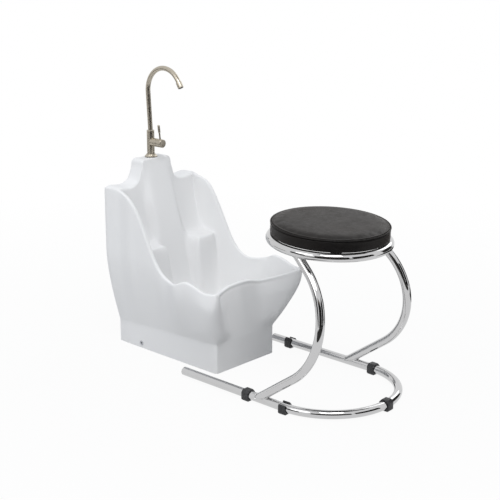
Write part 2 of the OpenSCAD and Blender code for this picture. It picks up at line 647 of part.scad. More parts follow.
module handle_hub() color(steel) difference() {
    barrel_axis() translate([0, 0, hub_start]) cylinder(r = barrel_r, h = hub_len);
    barrel_axis() translate([0, 0, hub_start - overcut])
        cylinder(r = pocket_r + 1.6, h = skirt_depth + overcut);
    barrel_axis() translate([0, 0, hub_start]) cylinder(r = stem_r + gap, h = lever_at + 4.2 - hub_start);
    lever_axis() translate([0, 0, lever_root]) cylinder(r = lever_r + gap, h = 20);
    barrel_axis() translate([0, 0, lever_at]) rotate([90, 0, 0]) cylinder(r = 2 + gap, h = 20);
}
module handle_lever() color(steel) lever_axis() {
    translate([0, 0, lever_root]) cylinder(r = lever_r, h = barrel_r - lever_root + lever_len - 4);
    translate([0, 0, barrel_r + lever_len / 2]) cylinder(r = grip_r, h = lever_len / 2 - grip_r);
    translate([0, 0, barrel_r + lever_len - grip_r]) sphere(r = grip_r);
}
module hub_screw() color("gray") barrel_axis() translate([0, 0, lever_at]) rotate([90, 0, 0])
    translate([0, 0, stem_r + 0.5]) cylinder(r = 2, h = hub_screw_len);

// Spout: a foot standing in the body, a riser that leans back, a bend and a short straight end.
tail_len = 21;
lean_bend_r = 60;    // radius of the slight bend where the riser starts to lean
lean_end = turned([0, 0, 90], lean_bend_r, -riser_lean);
neck_end = turned(ahead(lean_end, riser_len), neck_r, neck_turn);
housing_start = tail_len - aerator_len;
tube_in_housing = 8;
spout_bends = concat(
    bend([0, 0, 90], lean_bend_r, -riser_lean, 1),
    bend(ahead(lean_end, riser_len), neck_r, neck_turn, 19),
    [ahead(neck_end, housing_start + tube_in_housing)]
);
module spout_frame() translate([0, tap_y, body_top]) children();
// Frame of the straight end: z runs out of the spout.
module spout_end() spout_frame() translate([0, neck_end[0], neck_end[1]])
    rotate([neck_end[2] - 90, 0, 0]) children();
join_fit = 0.02;     // the bent tube lies this much inside its round foot, which it runs into
module spout_tube() color(steel) {
    tap_axis() ring_at(body_top - spout_foot, spout_r, spout_r - spout_wall, spout_foot);
    spout_frame() bent_tube(concat([[0, -overcut, 90]], spout_bends), spout_r - join_fit, spout_wall);
}
module spout_bush() color("whitesmoke") tap_axis()
    ring_at(body_top - bush_len, spout_socket - gap, spout_r + gap, bush_len);
module spout_orings() color("black") tap_axis() for (z = [1.5, 4])
    translate([0, 0, body_top - spout_foot + z - 0.5]) torus(spout_r + 0.75, 0.7);
module aerator_housing() color(steel) spout_end() translate([0, 0, housing_start]) difference() {
    cylinder(r = aerator_r, h = aerator_len);
    translate([0, 0, -overcut]) cylinder(r = spout_r + gap, h = aerator_len + 2 * overcut);
}
aerator_washer_t = 1.5;
insert_end = 1;      // how far the insert lies inside the housing's mouth
module aerator_washer() color("black") spout_end()
    ring_at(housing_start + tube_in_housing + gap, spout_r, spout_r - 2.5, aerator_washer_t);
insert_start = housing_start + tube_in_housing + aerator_washer_t + 2 * gap;
module aerator_insert() color("whitesmoke") spout_end() difference() {
    translate([0, 0, insert_start]) cylinder(r = spout_r, h = tail_len - insert_end - insert_start);
    translate([0, 0, insert_start - overcut])
        cylinder(r = spout_r - 2, h = tail_len - insert_end - insert_start - 1.5);
    for (n = [0, 6, 12], k = [0:max(0, n - 1)]) rotate([0, 0, 360 * k / max(1, n)])
        translate([n * 0.38, 0, 0]) cylinder(r = 0.65, h = 2 * tail_len, $fn = 16);
}

// ---------- stool frame ----------
tube_h = tube_r + clip_foot;
chrome = "lightgray";
module loop_solid(r, past = 0) {
    translate([0, bend_y, tube_h]) rotate([0, 0, 180]) rotate_extrude(angle = 180)
        translate([rail_half, 0]) circle(r = r);
    for (s = [-1, 1]) translate([s * rail_half, bend_y, tube_h]) rotate([-90, 0, 0])
        cylinder(r = r, h = rail_end_y - bend_y + past);
}
module base_loop() color(chrome) difference() {
    loop_solid(tube_r);
    loop_solid(tube_r - tube_wall, overcut);
}
// The seat's own frame: its origin is the middle of the ring.
module seat_frame() translate([0, ring_y, ring_h]) rotate([seat_tilt, 0, 0]) children();
module torus(big, r) rotate_extrude() translate([big, 0]) circle(r = r);

weld_fit = 0.05;
leg_stop = 10.8;     // the leg ends this far short of the ring's middle plane
leg_knee = ahead([0, 0, 180 - leg_rise], leg_run);
leg_end = turned(leg_knee, leg_bend_r, -leg_turn);
leg_top_run = ((ring_h - tube_h) / cos(leg_lean) - leg_end[1]) / sin(leg_end[2]) - leg_stop;
leg_bends = concat([[0, 0, 180 - leg_rise]], bend(leg_knee, leg_bend_r, -leg_turn, 18),
                   [ahead(leg_end, leg_top_run)]);
// One leg, fish-mouthed onto its rail and cut to the underside of the seat ring.
module leg() color(chrome) difference() {
    translate([rail_half, leg_foot_y, tube_h]) rotate([0, 0, leg_splay]) rotate([0, -leg_lean, 0])
        bent_tube(leg_bends, tube_r, tube_wall);
    translate([rail_half, leg_foot_y - 80, tube_h]) rotate([-90, 0, 0])
        cylinder(r = tube_r + weld_fit, h = 140);
    seat_frame() rotate([0, 0, -3 * vent_turn]) rotate_extrude(angle = 6 * vent_turn)
        translate([ring_r, 0]) circle(r = tube_r + weld_fit);
    seat_frame() translate([0, -rail_half, 0]) cube([2 * rail_half, 2 * rail_half, rail_half]);
}
module right_leg() leg();
module left_leg() mirror([1, 0, 0]) leg();

vent_r = 3;
vent_turn = 5;
module seat_ring() color(chrome) seat_frame() difference() {
    torus(ring_r, tube_r);
    torus(ring_r, tube_r - tube_wall);
    for (s = [-1, 1]) rotate([0, 0, s < 0 ? 180 + vent_turn : -vent_turn])
        translate([ring_r - 5, 0, -tube_r - overcut]) cylinder(r = vent_r, h = tube_r);
}

end_rim = 1.5;       // straight part of a plug's head
end_dome = 4;        // height of the dome on it
plug_in = 16;        // how far a plug reaches into its tube
dome_r = (tube_r * tube_r + end_dome * end_dome) / 2 / end_dome;
module rail_end_plugs() color("lightgray") both_sides()
    translate([rail_half, rail_end_y, tube_h]) rotate([-90, 0, 0]) {
        translate([0, 0, -plug_in]) cylinder(r = tube_r - tube_wall - gap, h = plug_in + eps);
        intersection() {
            cylinder(r = tube_r, h = 2 * end_dome);
            translate([0, 0, end_rim + end_dome - dome_r]) sphere(r = dome_r);
        }
    }

// A clip stands across the tube on a flat foot: [x, y, turn], on the rails and round the front.
function round_spot(a) = [rail_half * cos(a), bend_y - rail_half * sin(a), -a];
clip_spots = [
    [-rail_half, leg_foot_y + 39, 0], [rail_half, rail_end_y - 66, 0],
    round_spot(3), round_spot(177), round_spot(87.4)
];
clip_half = tube_r + clip_wall;
clip_h = tube_h + clip_half;
clip_fit = 0.1;
module rail_clips() color([0.12, 0.12, 0.13]) for (c = clip_spots) difference() {
    translate([c[0], c[1], 0]) rotate([90, 0, c[2]]) translate([0, 0, -clip_len / 2]) linear_extrude(clip_len)
        polygon([[4 - clip_half, 0], [clip_half - 4, 0], [clip_half, 4],
                 [clip_half, clip_h - 8], [clip_half - 7, clip_h],
                 [7 - clip_half, clip_h], [-clip_half, clip_h - 8], [-clip_half, 4]]);
    loop_solid(tube_r + clip_fit);
}

// ---------- seat ----------
// Heights here are measured in the seat's own frame, from the plane of the ring's centre line.
under_seat = tube_r;
board_z = under_seat + cover_t;
board_top = board_z + board_t;
board_r = cushion_r - cover_t - 6;
screw_circle = 140;
wrap_r = 132;
tab_inner = 124;
tab_w = 30;
tab_t = 3;
m6_r = 3;
module four_corners() for (a = [45:90:315]) rotate([0, 0, a]) children();
module four_screws() four_corners() translate([screw_circle, 0, 0]) children();

module seat_tabs() color("silver") seat_frame() difference() {
    four_corners() translate([tab_inner, -tab_w / 2, under_seat - tab_t])
        cube([ring_r - 6 - tab_inner, tab_w, tab_t]);
    torus(ring_r, tube_r);
    four_screws() cylinder(r = m6_r + 0.3, h = under_seat + overcut);
}
tnut_r = 4;
tnut_flange_r = 9.5;
tnut_flange_t = 1.2;
module seat_board() color("burlywood") seat_frame() difference() {
    translate([0, 0, board_z]) cylinder(r = board_r, h = board_t);
    four_screws() cylinder(r = tnut_r + gap, h = board_top + overcut);
    four_screws() translate([0, 0, board_top - tnut_flange_t]) cylinder(r = tnut_flange_r + gap, h = 5);
}
module seat_tnuts() color("silver") seat_frame() four_screws() difference() {
    union() {
        translate([0, 0, board_z + 1]) cylinder(r = tnut_r, h = board_t - 1);
        translate([0, 0, board_top - tnut_flange_t]) cylinder(r = tnut_flange_r, h = tnut_flange_t);
    }
    translate([0, 0, board_z]) cylinder(r = m6_r + gap, h = board_t + overcut);
}
screw_head_h = 4;
module seat_screws() color("gray") seat_frame() four_screws() {
    translate([0, 0, under_seat - tab_t - screw_head_h]) cylinder(r = 2 * m6_r, h = screw_head_h);
    translate([0, 0, under_seat - tab_t - eps]) cylinder(r = m6_r, h = tab_t + cover_t + board_t - 1);
}

// Half section of the cushion from the edge of its underside up to the middle of its crown.
seam_r = cushion_r - 1.5;
edge_rise = 4.5;     // how much the top rises close to the seam
side_count = 8;
crown_count = 14;
function side_point(t, inset) =
    [seam_r + 1.5 * sin(180 * t) - inset, under_seat + mix(1.5, seam_rise, t)];
function crown_point(t, inset) =
    let(q = 1 - t, dome = crown_rise - seam_rise - edge_rise)
    [(seam_r - inset) * sin(90 * q), under_seat + seam_rise - inset
     + edge_rise * (1 - pow(sin(90 * q), 8)) + dome * (1 - pow(sin(90 * q), 2))];
function cushion_section(inset) = concat(
    [[seam_r - 3 - inset, under_seat + inset]],
    [for (k = [0:side_count]) let(p = side_point(k / side_count, inset))
        [p[0], min(max(p[1], under_seat + inset + 1), under_seat + seam_rise - inset)]],
    [for (k = [1:crown_count]) crown_point(k / crown_count, inset)]
);
function backwards(v) = [for (k = [len(v) - 1:-1:0]) v[k]];
welt_r = 1.5;
module welt(r) translate([0, 0, under_seat + seam_rise]) torus(seam_r + 0.6, r);
module seat_foam() color("khaki") seat_frame() rotate_extrude($fn = 96)
    polygon(concat([[0, board_top], [board_r, board_top], [board_r, board_z]], cushion_section(cover_t)));
module seat_cover() color([0.16, 0.14, 0.13]) seat_frame() difference() {
    rotate_extrude($fn = 96) polygon(concat(
        [[wrap_r, under_seat]], cushion_section(0),
        backwards(cushion_section(cover_t)), [[wrap_r, board_z]]));
    welt(welt_r);
    four_screws() cylinder(r = m6_r + 0.5, h = board_z + eps);
}
module seat_welt() color([0.1, 0.09, 0.09]) seat_frame() welt(welt_r);
module seat_undercloth() color("black") seat_frame() translate([0, 0, under_seat])
    cylinder(r = wrap_r - 0.5, h = cover_t);

basin_shell();
drain_flange();
flange_seal();
drain_gasket();
drain_locknut();
drain_tailpiece();
drain_plug();
plug_seal();
fixing_brackets();
fixing_bushes();
side_screws();
tap_gasket();
tap_flange();
tap_body();
tap_shank();
shank_washer();
shank_plate();
shank_nut();
valve_housing();
valve_cartridge();
bonnet_nut();
cartridge_stem();
handle_hub();
handle_lever();
hub_screw();
spout_tube();
spout_bush();
spout_orings();
aerator_housing();
aerator_washer();
aerator_insert();
base_loop();
left_leg();
right_leg();
seat_ring();
rail_end_plugs();
rail_clips();
seat_tabs();
seat_board();
seat_tnuts();
seat_screws();
seat_foam();
seat_cover();
seat_welt();
seat_undercloth();
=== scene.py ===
# Pedicure foot basin with a gooseneck tap, and the round cantilever stool that stands over its front.
# Metres; X across, Y from the stool to the basin's flat back, Z up, origin on the floor in the middle.
import math

import bpy
import numpy as np
from mathutils import Matrix, Vector


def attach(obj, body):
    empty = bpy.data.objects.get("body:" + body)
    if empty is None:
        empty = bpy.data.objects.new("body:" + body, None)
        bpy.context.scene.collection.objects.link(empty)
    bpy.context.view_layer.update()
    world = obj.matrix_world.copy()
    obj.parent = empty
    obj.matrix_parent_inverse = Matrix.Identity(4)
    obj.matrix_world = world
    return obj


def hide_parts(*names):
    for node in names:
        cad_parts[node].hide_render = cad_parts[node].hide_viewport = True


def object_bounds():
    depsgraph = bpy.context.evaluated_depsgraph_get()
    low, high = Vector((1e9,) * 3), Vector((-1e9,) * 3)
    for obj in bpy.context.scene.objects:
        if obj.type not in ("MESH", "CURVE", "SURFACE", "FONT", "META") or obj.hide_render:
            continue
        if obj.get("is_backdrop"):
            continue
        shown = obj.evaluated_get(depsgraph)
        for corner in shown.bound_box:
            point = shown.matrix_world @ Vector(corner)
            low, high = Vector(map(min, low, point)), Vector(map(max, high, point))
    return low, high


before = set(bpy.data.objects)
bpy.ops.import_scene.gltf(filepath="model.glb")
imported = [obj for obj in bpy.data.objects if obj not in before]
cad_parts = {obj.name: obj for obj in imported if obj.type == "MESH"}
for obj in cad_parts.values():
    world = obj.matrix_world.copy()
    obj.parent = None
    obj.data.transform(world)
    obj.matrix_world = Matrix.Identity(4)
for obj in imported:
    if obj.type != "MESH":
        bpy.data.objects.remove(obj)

cad_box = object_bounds()
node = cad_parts

# ---------------------------------------------------------------- camera
# A long lens at standing height, off the stool's front left corner.
# It looks down across the basin, and stands still in every pose.
CAMERA_AT = [-2.4354, -2.2264, 1.3095]
CAMERA_TURN, CAMERA_DROP, CAMERA_ROLL = np.radians([-47.1165, 15.9041, 0.1187])
CAMERA_LENS = 84.1
looking_back = np.array([math.sin(CAMERA_TURN) * math.cos(CAMERA_DROP),
                         -math.cos(CAMERA_TURN) * math.cos(CAMERA_DROP), math.sin(CAMERA_DROP)])
level = np.cross(-looking_back, [0, 0, 1])
level /= np.linalg.norm(level)
upright = np.cross(level, -looking_back)
camera_right = level * math.cos(CAMERA_ROLL) + upright * math.sin(CAMERA_ROLL)
camera_up = upright * math.cos(CAMERA_ROLL) - level * math.sin(CAMERA_ROLL)
camera = bpy.data.objects.new("camera", bpy.data.cameras.new("camera"))
bpy.context.scene.collection.objects.link(camera)
camera.matrix_world = (Matrix.Translation(CAMERA_AT)
                       @ Matrix(np.stack([camera_right, camera_up, looking_back], 1).tolist()).to_4x4())
camera.data.sensor_width = 36
camera.data.lens = CAMERA_LENS
camera.data.clip_end = 150
bpy.context.scene.camera = camera
bpy.context.scene.view_settings.view_transform = "Standard"

# ---------------------------------------------------------------- floor, lamps and dark cards
# The room: a white floor that keeps the object's shadow, four soft lamps, and dark cards that draw the
# streaks on polished tube as a photographer's flags do. Mirrors see the room as white as the camera does.
FLOOR_WHITE, FLOOR_HALF = 0.62, 60
FLOOR_GLOW = 0.94            # share of the floor's white that no shadow takes away
SHADOW_REACH = 0.6           # metres from the middle where the floor starts to turn pure white
ROOM_LIGHT, ROOM_TINT = 0.72, (0.925, 0.955, 1, 1)
PURE_WHITE = (1, 1, 1, 1)


def new_material(name):
    """An empty node material, returned with its node tree."""
    material = bpy.data.materials.new(name)
    material.use_nodes = True
    tree = material.node_tree
    tree.nodes.clear()
    return material, tree


def feed(tree, socket, value):
    """Gives an input socket its value, or links it to the output that the value is."""
    if isinstance(value, bpy.types.NodeSocket):
        tree.links.new(value, socket)
    else:
        colour = isinstance(value, tuple) and len(value) == 3 and len(socket.default_value) == 4
        socket.default_value = (*value, 1) if colour else value


def add(tree, kind, inputs=None, **settings):
    """A node of that kind; inputs are values or sockets by name or number, settings are its own fields."""
    made = tree.nodes.new(kind)
    for key, value in settings.items():
        setattr(made, key, value)
    for key, value in (inputs or {}).items():
        feed(tree, made.inputs[key], value)
    return made


def seen_directly(tree):
    """1 for the camera's, mirror and glass rays, 0 for the rays that carry light to the object."""
    rays = add(tree, "ShaderNodeLightPath")
    both = add(tree, "ShaderNodeMath", {0: rays.outputs["Is Camera Ray"], 1: rays.outputs["Is Glossy Ray"]},
               operation="MAXIMUM")
    return add(tree, "ShaderNodeMath", {0: both.outputs[0], 1: rays.outputs["Is Transmission Ray"]},
               operation="MAXIMUM").outputs[0]


world = bpy.data.worlds.new("white room")
world.use_nodes = True
world.node_tree.nodes.clear()
direct = seen_directly(world.node_tree)
room = add(world.node_tree, "ShaderNodeBackground", {"Color": ROOM_TINT, "Strength": ROOM_LIGHT})
white = add(world.node_tree, "ShaderNodeBackground", {"Color": PURE_WHITE, "Strength": 1})
sky = add(world.node_tree, "ShaderNodeMixShader", {0: direct, 1: room.outputs[0], 2: white.outputs[0]})
add(world.node_tree, "ShaderNodeOutputWorld", {0: sky.outputs[0]})
bpy.context.scene.world = world

floor_white, tree = new_material("floor white")
lit = add(tree, "ShaderNodeBsdfDiffuse", {"Color": (FLOOR_WHITE, FLOOR_WHITE, FLOOR_WHITE, 1)})
glow = add(tree, "ShaderNodeEmission", {"Color": PURE_WHITE, "Strength": 1})
from_middle = add(tree, "ShaderNodeVectorMath", {0: add(tree, "ShaderNodeTexCoord").outputs["Object"]},
                  operation="LENGTH").outputs["Value"]
far_white = add(tree, "ShaderNodeMapRange", {"Value": from_middle, "From Min": SHADOW_REACH,
                                             "From Max": 4 * SHADOW_REACH, "To Min": FLOOR_GLOW, "To Max": 1})
share = add(tree, "ShaderNodeMath", {0: seen_directly(tree), 1: far_white.outputs[0]}, operation="MULTIPLY")
mixed = add(tree, "ShaderNodeMixShader", {0: share.outputs[0], 1: lit.outputs[0], 2: glow.outputs[0]})
add(tree, "ShaderNodeOutputMaterial", {0: mixed.outputs[0]})


def plain_mesh(name, points, faces, material=None):
    """A mesh object at the origin from points in metres and faces of point numbers."""
    mesh = bpy.data.meshes.new(name)
    mesh.from_pydata(np.asarray(points, float).reshape(-1, 3).tolist(), [],
                     [list(map(int, f)) for f in faces])
    mesh.update()
    made = bpy.data.objects.new(name, mesh)
    bpy.context.scene.collection.objects.link(made)
    if material:
        mesh.materials.append(material)
    return made


def card(name, middle, across, upwards, material):
    """A flat rectangle round a middle point, spanned by half its width and half its height."""
    m, a, b = (np.array(v, float) for v in (middle, across, upwards))
    return plain_mesh(name, [m - a - b, m + a - b, m + a + b, m - a + b], [(0, 1, 2, 3)], material)


floor = card("floor", (0, 0, 0), (FLOOR_HALF, 0, 0), (0, FLOOR_HALF, 0), floor_white)
floor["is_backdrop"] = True


def card_paint(name, colour):
    """Flat paint for the cards."""
    material, tree = new_material(name)
    add(tree, "ShaderNodeOutputMaterial",
        {0: add(tree, "ShaderNodeBsdfDiffuse", {"Color": (*colour, 1)}).outputs[0]})
    return material


flag_black = card_paint("flag black", (0.045, 0.043, 0.040))
warm_grey = card_paint("warm grey", (0.42, 0.36, 0.30))
# Each flag: name, middle, half its width, half its height. Three lie on the floor; the others stand round
# the set with white between them. Only polished surfaces see them, but for shade_front, which only shades.
FLAGS = [("flag_low", (-1.60, -2.35, 0.012), (1.65, -1.65, 0), (-1.20, -1.20, 0)),
         ("flag_behind", (-1.9, 2.6, 0.012), (0.68, 0.59, 0), (-0.73, 0.83, 0)),
         ("flag_beside", (1.6, -0.75, 0.012), (0.75, -0.20, 0), (0.20, 0.75, 0)),
         ("flag_near", (-3.3, -3.4, 1.2), (1.9, -1.8, 0), (0, 0, 1.2)),
         ("flag_front", (0.7, -4.2, 1.2), (1.5, 0.35, 0), (0, 0, 1.2)),
         ("flag_left", (-3.9, 0.9, 0.9), (0.25, 1.0, 0), (0, 0, 0.9)),
         ("flag_right", (3.4, -1.5, 1.1), (0.35, 1.0, 0), (0, 0, 1.1)),
         ("flag_top", (0.2, -0.9, 3.0), (1.5, 0, 0), (0, 0.45, 0)),
         ("card_warm", (-3.9, -4.0, 2.9), (1.6, -1.5, 0), (0, 0, 0.45)),
         ("shade_front", (0.5, -3.4, 1.1), (2.3, 0.2, 0), (0, 0, 1.5))]
for name, middle, across, upwards in FLAGS:
    flag = card(name, middle, across, upwards, warm_grey if name == "card_warm" else flag_black)
    flag.visible_camera = flag.visible_shadow = flag.visible_transmission = False
    flag.visible_diffuse = name == "shade_front"
    flag.visible_glossy = name != "shade_front"
    flag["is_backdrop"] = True

# Each lamp is a round soft box turned to the origin: name, where it hangs, diameter and watts.
LAMPS = [("top_lamp", (0.2, 0.9, 3.4), 2.4, 2), ("left_lamp", (-3.2, 0.1, 2.3), 2.0, 19),
         ("right_lamp", (3.2, 0.2, 2.4), 2.2, 16), ("front_lamp", (-1.3, -1.7, 3.3), 1.8, 54)]
for name, hung, size, power in LAMPS:
    lamp = bpy.data.objects.new(name, bpy.data.lights.new(name, "AREA"))
    lamp.data.shape = "DISK"
    lamp.data.size = size
    lamp.data.energy = power
    lamp.location = hung
    lamp.rotation_euler = (-Vector(hung)).to_track_quat("-Z", "Y").to_euler()
    bpy.context.scene.collection.objects.link(lamp)

# ---------------------------------------------------------------- basin
# One hollow casting of sanitary china, glazed white all over but for the ring that it stands on.
# The outside flares from a straight plinth up to a rolled rim with two horns, a calf rest between them,
# two shoulders and a tap deck; inside are the bowl, two heel ledges and a column that carries the deck.
PLINTH_HALF = 0.127
PLINTH_FRONT_Y, BACK_Y = 0.053, 0.487
KICK_BACK_H, KICK_FRONT_H = 0.071, 0.092
DECK_H, DECK_HALF, DECK_DEPTH = 0.585, 0.053, 0.051
SHOULDER_H, SHOULDER_HALF = 0.513, 0.174
HIP_H, HIP_HALF = 0.291, 0.203
HORN_H, HORN_Y = 0.278, -0.009
CALF_H = 0.240
LIP_W = 0.012
FLOOR_H, FLOOR_R, DRAIN_Y = 0.122, 0.042, 0.185
LEDGE_H, LEDGE_FRONT_Y, LEDGE_BACK_Y = 0.336, 0.318, 0.374
COLUMN_HALF = 0.056
CHINA_WALL = 0.012
HORN_X = HIP_HALF - 0.016
RIM_HALF = np.array([
    (0, BACK_Y, DECK_H), (DECK_HALF, BACK_Y, DECK_H - .001),
    (DECK_HALF + .010, BACK_Y, (DECK_H + SHOULDER_H) / 2 + .008),
    (DECK_HALF + .027, BACK_Y, SHOULDER_H + .012),
    (DECK_HALF + .059, BACK_Y, SHOULDER_H), (SHOULDER_HALF - .020, BACK_Y, SHOULDER_H + .003),
    (SHOULDER_HALF + .002, BACK_Y - .006, SHOULDER_H - .001),
    (SHOULDER_HALF - .001, BACK_Y - .041, SHOULDER_H + .001),
    (SHOULDER_HALF - .004, BACK_Y - .067, SHOULDER_H - .005),
    (SHOULDER_HALF, BACK_Y - .109, SHOULDER_H - .022),
    (SHOULDER_HALF - .002, BACK_Y - .144, SHOULDER_H - .061),
    (SHOULDER_HALF - .001, BACK_Y - .187, SHOULDER_H - .138), (SHOULDER_HALF, BACK_Y - .218, HIP_H + .029),
    (SHOULDER_HALF + .002, BACK_Y - .251, HIP_H - .006), (HIP_HALF - .021, BACK_Y - .288, HIP_H - .020),
    (HIP_HALF, BACK_Y - .335, HIP_H - .015), (HIP_HALF - .002, HORN_Y + .120, HIP_H + .001),
    (HIP_HALF - .002, HORN_Y + .081, HIP_H - .005), (HIP_HALF - .004, HORN_Y + .046, HORN_H - .003),
    (HORN_X + .007, HORN_Y + .016, HORN_H - .004), (HORN_X, HORN_Y, HORN_H),
    (HORN_X - .015, HORN_Y + .002, HORN_H - .006), (HORN_X - .042, HORN_Y + .029, CALF_H + .020),
    (HORN_X - .073, HORN_Y + .060, CALF_H + .008), (HORN_X - .106, HORN_Y + .082, CALF_H + .003),
    (HORN_X - .145, HORN_Y + .087, CALF_H + .011), (0, HORN_Y + .083, CALF_H + .015)])
BACK_CORNER, HORN = 6, 20    # numbers of the rim points at the back corner and at the horn's tip
RIM_FINE = 7                 # steps between two rim points
CORNER_R = 0.009


def ease(t):
    """Smooth step: 3 t squared less 2 t cubed, held at 0 and 1 outside that span."""
    t = np.clip(t, 0, 1)
    return t * t * (3 - 2 * t)


def blend_between(a, b, t):
    """a (1 - t) + b t"""
    return a + (b - a) * t


def hump(x, middle, width):
    """A bell of height 1: e to the minus ((x - middle) / width) squared."""
    return np.exp(-((x - middle) / width) ** 2)


def round_trip(half):
    """The half outline, then its mirror image back to the start, without the two middle points twice."""
    return np.vstack([half, half[-2:0:-1] * [-1, 1, 1]])


def curve_at(rows, u, closed=False):
    """Catmull-Rom curve through rows of points, at row numbers u that may fall between two rows."""
    n = len(rows)
    i = np.floor(u).astype(int)
    t = (u - i).reshape(-1, *[1] * (rows.ndim - 1))
    a, b, c, d = (rows[(i + k) % n] if closed else rows[np.clip(i + k, 0, n - 1)] for k in (-1, 0, 1, 2))
    return (2 * b + (c - a) * t + (2 * a - 5 * b + 4 * c - d) * t ** 2
            + (3 * b - a - 3 * c + d) * t ** 3) / 2


def smooth_loop(rows, fine):
    """A closed curve through rows of points, with `fine` steps from each row to the next."""
    return curve_at(rows, np.arange(len(rows) * fine) / fine, True)


def along_loop(values, spread):
    """Values round a closed loop, averaged with a bell of that spread, in points."""
    reach = np.arange(-3 * spread, 3 * spread + 1)
    bell = np.exp(-0.5 * (reach / spread) ** 2)
    return sum(w * np.roll(values, int(k), 0) for k, w in zip(reach, bell / bell.sum()))


corner_in = CORNER_R * (1 - math.cos(math.radians(45)))
foot_half = np.zeros_like(RIM_HALF)
side_t = ((RIM_HALF[:, 1] - RIM_HALF[BACK_CORNER + 1, 1])
          / (RIM_HALF[HORN - 1, 1] - RIM_HALF[BACK_CORNER + 1, 1]))
foot_half[:, 0] = PLINTH_HALF
foot_half[:, 1] = blend_between(BACK_Y - 0.032, PLINTH_FRONT_Y + CORNER_R + 0.004, side_t)
foot_half[:BACK_CORNER, 0] = (RIM_HALF[:BACK_CORNER, 0] / RIM_HALF[BACK_CORNER - 1, 0]
                              * (PLINTH_HALF - CORNER_R))
foot_half[:BACK_CORNER, 1] = BACK_Y
foot_half[BACK_CORNER, :2] = PLINTH_HALF - corner_in, BACK_Y - corner_in
foot_half[HORN, :2] = PLINTH_HALF - corner_in, PLINTH_FRONT_Y + corner_in
foot_half[HORN + 1:, 0] = RIM_HALF[HORN + 1:, 0] / RIM_HALF[HORN + 1, 0] * (PLINTH_HALF - CORNER_R)
foot_half[HORN + 1:, 1] = PLINTH_FRONT_Y

rim = smooth_loop(round_trip(RIM_HALF), RIM_FINE)
foot = smooth_loop(round_trip(foot_half), RIM_FINE)
TIPS = [HORN * RIM_FINE, len(rim) - HORN * RIM_FINE]
CORNER_REACH = 0.075         # how far along the rim a front corner's rounding runs out
FOOT_SPREAD, RIM_SPREAD = 21, 12    # points over which the plinth's and the rim's front corners are averaged
near_tip = [np.exp(-0.5 * (np.linalg.norm((rim - rim[tip])[:, :2], axis=1) / CORNER_REACH) ** 2)
            for tip in TIPS]


def round_fronts(loop, spread):
    """A loop with its two front corners rounded by an average over neighbours, and moved out again by a
    wide bell, so that the corner's own point stays where it was and the sides swell towards it."""
    soft = along_loop(loop, spread)
    moved = loop + sum(near_tip)[:, None] * (soft - loop)
    for tip, near in zip(TIPS, near_tip):
        moved = moved + near[:, None] * (loop[tip] - soft[tip])
    return moved


for loop in (rim, foot):
    loop[:, 1] = np.minimum(loop[:, 1], BACK_Y)
    loop[:, 2] = np.minimum(loop[:, 2], DECK_H)
around = np.roll(rim, -1, 0) - np.roll(rim, 1, 0)
inward = along_loop(np.stack([around[:, 1], -around[:, 0]], 1)
                    / np.hypot(around[:, 0], around[:, 1])[:, None], 3)
inward /= np.linalg.norm(inward, axis=1)[:, None]
soft_foot, soft_rim = round_fronts(foot, FOOT_SPREAD), round_fronts(rim, RIM_SPREAD)

column_top_y = BACK_Y - DECK_DEPTH
SHOULDER_ZONE = 0.067
shoulder_share = np.maximum(0, 1 - (BACK_Y - rim[:, 1]) / SHOULDER_ZONE)
side_in = rim[:, :2] + inward * LIP_W
back_x = rim[:, 0] * (1 - 0.12 * (np.abs(rim[:, 0]) / SHOULDER_HALF) ** 3)
rim_in = np.where(shoulder_share[:, None] <= 0, side_in, np.stack([
    blend_between(side_in[:, 0], back_x, ease((rim[:, 1] - BACK_Y + 0.041) / 0.035)),
    blend_between(column_top_y, side_in[:, 1], (1 - shoulder_share) ** 1.6)], 1))
rim_width = np.linalg.norm(rim_in - rim[:, :2], axis=1)
SHOULDER_FALL, DECK_FADE = 0.008, 0.030
rim_fall = (SHOULDER_FALL * np.minimum(1, 1.4 * shoulder_share)
            * ease((DECK_H - DECK_FADE - rim[:, 2]) / DECK_FADE))
EDGE_R = 0.45 * LIP_W

kick_h = blend_between(KICK_BACK_H, KICK_FRONT_H, (BACK_Y - foot[:, 1]) / (BACK_Y - PLINTH_FRONT_Y))
FLARE_END_H, FLARE_POWER, BELLY = 0.310, 1.5, 0.055
CRISP_SHARE = 0.3            # share of the height in which a crisp corner turns into a round one
SWELL_FADE = 0.060           # height in which the swelling falls to its share above the flare
UNDER_LIP = 0.0022           # how far the wall draws in under the lip of the calf rest
calf_share = ease((0.165 - np.abs(rim[:, 0])) / 0.08) * ease((0.14 - rim[:, 1]) / 0.03)


def outer_wall(v):
    """Share v of the height above the kick: the wall goes from the plinth out to the rim as
    1 - (1 - w) ** 1.5, where w = v over the flare's own share, plus a swelling of sin(pi v ** 2).
    Between crisp ends its front corners are round, and a bell at v = 0.965 draws it in under the lip."""
    full = np.minimum(1, (FLARE_END_H - kick_h) / (rim[:, 2] - kick_h))
    w = np.minimum(1, v / full)
    swell = BELLY * blend_between(0.3, 1, ease((FLARE_END_H + SWELL_FADE / 2 - rim[:, 2]) / SWELL_FADE))
    f = 1 - (1 - w) ** FLARE_POWER + swell * np.sin(np.pi * v * v)
    low = blend_between(foot, soft_foot, ease(v / CRISP_SHARE))
    high = blend_between(rim, soft_rim, ease((1 - v) / CRISP_SHARE))
    plan = blend_between(low, high, f[:, None])[:, :2]
    plan = plan + inward * (UNDER_LIP * calf_share * hump(v, 0.965, 0.022))[:, None]
    return np.column_stack([plan, blend_between(kick_h, rim[:, 2] - EDGE_R, v)])


